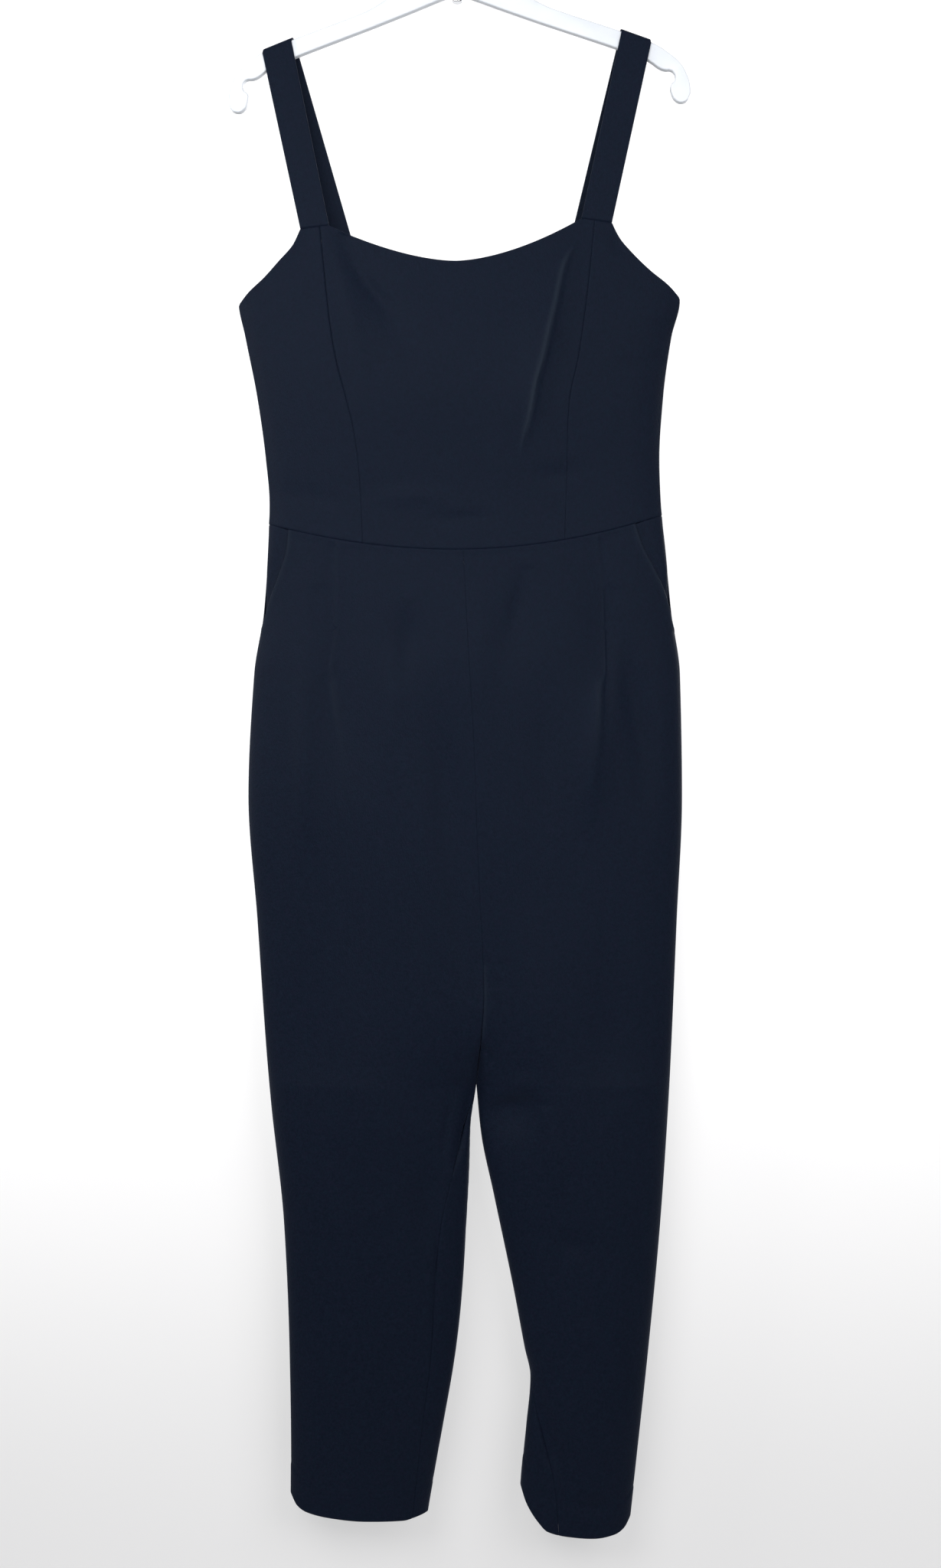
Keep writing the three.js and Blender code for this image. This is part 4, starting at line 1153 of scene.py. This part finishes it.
def pocket_panel(side):
    def mouth_at(z):
        return table_value(POCKETS[side], "x", np.maximum(z, POCKET_BOTTOM))

    def at(u, z):
        return trouser_point(side, u * turn_at(side, mouth_at(z) - side * POCKET_UNDERLAP, z), z)

    def inset(u, z, x):
        past = side * (x - mouth_at(z)) - 1
        below = np.clip((z - POCKET_BOTTOM) / POCKET_UNDERLAP, 0, 1)
        return POCKET_DEPTH * (1 - below * smooth(past / POCKET_BLEND))

    def lower_edge(x, z):
        return np.full_like(x, POCKET_BOTTOM - POCKET_TAIL)

    ends = dict(start=1, end=0, top=1, bottom=0)
    name = f"pocket_panel_{SIDE_NAMES[side]}_cloth"
    return panel(name, FRONT, at, waist_at, lower_edge, ends, inset=inset)


# The hanger and the straps over its arms
def tilted(x, z):
    cosine, sine = math.cos(HANGER_TILT), math.sin(HANGER_TILT)
    return x * cosine - z * sine, x * sine + z * cosine


def arm_edge(side):
    return tilted(side * ARM_INNER[0], ARM_INNER[1]), tilted(side * ARM_OUTER[0], ARM_OUTER[1])


def arm_top(side, x):
    inner, outer = arm_edge(side)
    return inner[1] + (x - inner[0]) / (outer[0] - inner[0]) * (outer[1] - inner[1])


def arm_lean(side):
    inner, outer = arm_edge(side)
    return abs(outer[0] - inner[0]) / math.dist(inner, outer)


STRAP_COLUMNS = 9
STRAP_LEG_ROWS = 70
STRAP_TURN_ROWS = 9


def strap(side):
    """A strap from the bodice's front, over the hanger's arm, to the bodice's back."""
    width = math.dist(*STRAPS[side][FRONT]["base"])
    share = spread(0, width, STRAP_COLUMNS) / width
    radius = HANGER_BEVEL + SEAT_GAP + STRAP_CLOTH
    flat = HANGER_THICK / 2 - HANGER_BEVEL

    def top_row(face, angle):
        blend = (1 + face * math.cos(angle)) / 2
        front, back = (np.array(STRAPS[side][which]["top"]) for which in (FRONT, BACK))
        x = mix(*mix(front, back, blend), share)
        crown = arm_top(side, x) + (SEAT_GAP + STRAP_CLOTH) / arm_lean(side)
        y = np.full_like(x, face * (flat + radius * math.cos(angle)))
        return np.stack([x, y, crown - radius * (1 - math.sin(angle))], 1)

    def base_row(face):
        outer, inner = STRAPS[side][face]["base"]
        x, z = mix(outer[0], inner[0], share), mix(outer[1], inner[1], share)
        return np.stack([x, bodice_y(face, x, z), z], 1)

    def leg(face):
        steps = np.linspace(0, 1, STRAP_LEG_ROWS, endpoint=False)
        return [mix(base_row(face), top_row(face, 0), t) for t in steps]

    def turn(face):
        return [top_row(face, angle) for angle in np.linspace(0, math.pi / 2, STRAP_TURN_ROWS)]

    points = np.array(leg(FRONT) + turn(FRONT) + turn(BACK)[::-1] + leg(BACK)[::-1])
    along = np.gradient(points, axis=1)
    down = np.gradient(points, axis=0)
    normal = np.cross(along, down)
    normal /= np.linalg.norm(normal, axis=2, keepdims=True)
    normal *= np.sign(normal[STRAP_LEG_ROWS // 2, STRAP_COLUMNS // 2, 1]) * FRONT
    distance = np.minimum(share, 1 - share) * width
    round_in = rounding(distance, STRAP_CLOTH / 2)[None, :, None]
    outer = points - normal * round_in
    inner = points - normal * (STRAP_CLOTH - round_in)
    return wall_object(f"strap_{SIDE_NAMES[side]}_cloth", outer, inner, CREPE)


def cut_corners(points, reach):
    """A closed outline with each corner replaced by two points."""
    cut = []
    for before, here, after in zip(np.roll(points, 1, 0), points, np.roll(points, -1, 0)):
        for other in (before, after):
            gap = other - here
            length = math.hypot(*gap)
            cut.append(here + gap / length * min(reach, length * 0.3))
    return np.array(cut)


def ring_mesh(name, rings, material):
    """A closed mesh through rings of as many points each, in mm."""
    count = len(rings[0])
    vertices = [tuple(point * MM) for ring in rings for point in ring]
    faces = []
    for low in range(len(rings) - 1):
        for i in range(count):
            j = (i + 1) % count
            a, b = low * count, (low + 1) * count
            faces.append((a + i, a + j, b + j, b + i))
    faces.append(tuple(range(count))[::-1])
    faces.append(tuple(range((len(rings) - 1) * count, len(rings) * count)))
    made = mesh_object(name, vertices, faces, material)
    cleaner = bmesh.new()
    cleaner.from_mesh(made.data)
    bmesh.ops.recalc_face_normals(cleaner, faces=cleaner.faces)
    cleaner.to_mesh(made.data)
    cleaner.free()
    return made


def in_frame(points, y):
    """Points of the hanger's own frame at one depth, tilted as it hangs."""
    x, z = tilted(points[:, 0], points[:, 1])
    return np.stack([x, np.full_like(x, y), z], 1)


def bored(thing, radius, low, high):
    """The same piece with a round hole along the hanger's upright axis."""
    angles = np.linspace(0, 2 * math.pi, HOOK_SIDES, endpoint=False)
    rings = []
    for z in (low, high):
        x, up = tilted(radius * np.cos(angles), np.full_like(angles, z))
        rings.append(np.stack([x, radius * np.sin(angles), up], 1))
    cutter = ring_mesh("bore", rings, PLASTIC)
    hole = thing.modifiers.new("bore", "BOOLEAN")
    hole.operation = "DIFFERENCE"
    hole.solver = "EXACT"
    hole.object = cutter
    shape = bpy.data.meshes.new_from_object(thing.evaluated_get(bpy.context.evaluated_depsgraph_get()))
    thing.modifiers.remove(hole)
    thing.data = shape
    bpy.data.objects.remove(cutter)
    return thing


def hanger_body():
    """The moulded body: a flat outline with soft corners and rounded edges."""
    mirrored = HANGER_OUTLINE[::-1] * (-1, 1)
    outline = np.concatenate([HANGER_OUTLINE, [(0, HUB_TOP)], mirrored, [(0, HUB_BOTTOM)]])
    for reach in CORNER_CUTS:
        outline = cut_corners(outline, reach)
    along = np.roll(outline, -1, 0) - np.roll(outline, 1, 0)
    along /= np.linalg.norm(along, axis=1, keepdims=True)
    inward = np.stack([-along[:, 1], along[:, 0]], 1)
    flat = HANGER_THICK / 2 - HANGER_BEVEL
    rings = []
    for face in (FRONT, BACK):
        angles = np.linspace(0, math.pi / 2, EDGE_ROWS)
        for angle in angles[::-1] if face == FRONT else angles:
            inset = HANGER_BEVEL * (1 - math.cos(angle))
            y = face * (flat + HANGER_BEVEL * math.sin(angle))
            rings.append(in_frame(outline + inward * inset, y))
    body = ring_mesh("hanger_body_moulding", rings, PLASTIC)
    bored(body, HOOK_BORE / 2, HUB_BOTTOM - 5, HUB_TOP + 5)
    body.data.shade_smooth()
    body.data.set_sharp_from_angle(angle=math.radians(40))
    return body


def smooth_path(points, steps):
    """A curve through all of the points, with steps between each two."""
    ends = np.concatenate([[2 * points[0] - points[1]], points, [2 * points[-1] - points[-2]]])
    path = []
    for a, b, c, d in zip(ends, ends[1:], ends[2:], ends[3:]):
        for t in np.linspace(0, 1, steps, endpoint=False):
            bend = (c - a) * t + (2 * a - 5 * b + 4 * c - d) * t**2 + (3 * b - a - 3 * c + d) * t**3
            path.append(b + bend / 2)
    return np.array(path + [points[-1]])


def hanger_hook():
    """The wire: a flat head under the hub, the stem through it and the crook above."""
    centre = HOOK_WIRE / 2 - HOOK_RADIUS
    bend = np.radians(HOOK_BEND_DEGREES)
    crook = np.stack([HOOK_RADIUS * np.cos(bend), centre + HOOK_RADIUS * np.sin(bend)], 1)
    head_radius, head_height = HOOK_HEAD
    head_top = HUB_BOTTOM - SEAT_GAP
    path = smooth_path(np.concatenate([[(0, head_top)], HOOK_STEM, crook]), HOOK_STEPS)
    along = np.gradient(path, axis=0)
    along /= np.linalg.norm(along, axis=1, keepdims=True)
    reach = np.concatenate([[0], np.cumsum(np.linalg.norm(np.diff(path, axis=0), axis=1))])
    short = np.clip(HOOK_WIRE / 2 - (reach[-1] - reach), 0, HOOK_WIRE / 2 * 0.96)
    radii = np.sqrt((HOOK_WIRE / 2) ** 2 - short**2)
    rings = []
    low = head_top - head_height
    for radius, z in (
        (head_radius - 1.2, low),
        (head_radius - 0.4, low + 0.3),
        (head_radius, low + 1),
        (head_radius, head_top - 0.6),
        (head_radius - 0.4, head_top - 0.1),
        (HOOK_WIRE / 2, head_top),
    ):
        rings.append(((0, z), (0, 1), radius))
    rings += list(zip(path[1:], along[1:], radii[1:]))
    angles = np.linspace(0, 2 * math.pi, HOOK_SIDES, endpoint=False)
    made = []
    for (x, z), (run, rise), radius in rings:
        side_x, side_z = radius * np.cos(angles) * rise, -radius * np.cos(angles) * run
        across, up = tilted(x + side_x, z + side_z)
        made.append(np.stack([across, radius * np.sin(angles), up], 1))
    hook = ring_mesh("hanger_hook_wire", made, STEEL)
    hook.data.set_sharp_from_angle(angle=math.radians(50))
    return hook


pieces = {"bodice_front_centre": bodice_centre(), "bodice_back": bodice_back()}
for side in SIDES:
    word = SIDE_NAMES[side]
    pieces[f"bodice_front_{word}"] = bodice_side(side)
    pieces[f"strap_{word}"] = strap(side)
    pieces[f"trouser_front_{word}"] = trouser_front(side)
    pieces[f"trouser_back_{word}"] = trouser_back(side)
    pieces[f"pocket_panel_{word}"] = pocket_panel(side)

pieces["hanger_body"] = hanger_body()
pieces["hanger_hook"] = hanger_hook()
for node, piece in pieces.items():
    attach(piece, "root")
    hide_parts(node)


# The stage
def stage_plane(name, corners, material):
    thing = mesh_object(name, corners, [(0, 1, 2, 3)], material)
    return thing


WALL_Y = 0.043
FLOOR_Z = -2.1
ROOM = 4
low_right, low_left = (-ROOM, WALL_Y, FLOOR_Z), (ROOM, WALL_Y, FLOOR_Z)
wall = stage_plane("wall", [low_right, low_left, (ROOM, WALL_Y, 2), (-ROOM, WALL_Y, 2)], WALL)
wall.visible_shadow = False
wall.visible_diffuse = False
stage_plane("floor", [(-ROOM, -ROOM, FLOOR_Z), (ROOM, -ROOM, FLOOR_Z), low_left, low_right], FLOOR)


def area_light(name, place, target, size, power, color, spread):
    data = bpy.data.lights.new(name, "AREA")
    data.shape = "RECTANGLE"
    data.size, data.size_y = size
    data.energy = power
    data.color = color
    data.spread = math.radians(spread)
    light = bpy.data.objects.new(name, data)
    light.location = place
    direction = np.array(target) - np.array(place)
    yaw = math.atan2(direction[1], direction[0]) - math.pi / 2
    pitch = math.atan2(direction[2], math.hypot(direction[0], direction[1]))
    light.rotation_euler = (math.pi / 2 + pitch, 0, yaw)
    bpy.context.scene.collection.objects.link(light)
    return light


area_light("key", (-0.6, -1.6, 0), (-0.03, 0, -0.65), (1.2, 1.2), 10.5, (1, 0.99, 0.98), 110)
area_light("fill", (1.0, -1.6, -0.2), (0.1, 0, -0.75), (1.4, 1.4), 10, (1, 0.98, 0.98), 110)
area_light("rake", (-1.7, -0.6, -0.1), (0, 0, -0.65), (0.5, 0.9), 5.5, (1, 0.99, 0.98), 110)
area_light("behind", (1.2, 1.5, 0.05), (0, 0, -0.7), (1.2, 1.2), 20, (1, 0.99, 0.98), 110)
world = bpy.data.worlds.new("studio")
world.use_nodes = True
world.node_tree.nodes["Background"].inputs["Color"].default_value = (0.95, 0.97, 1, 1)
world.node_tree.nodes["Background"].inputs["Strength"].default_value = 0.2
bpy.context.scene.world = world
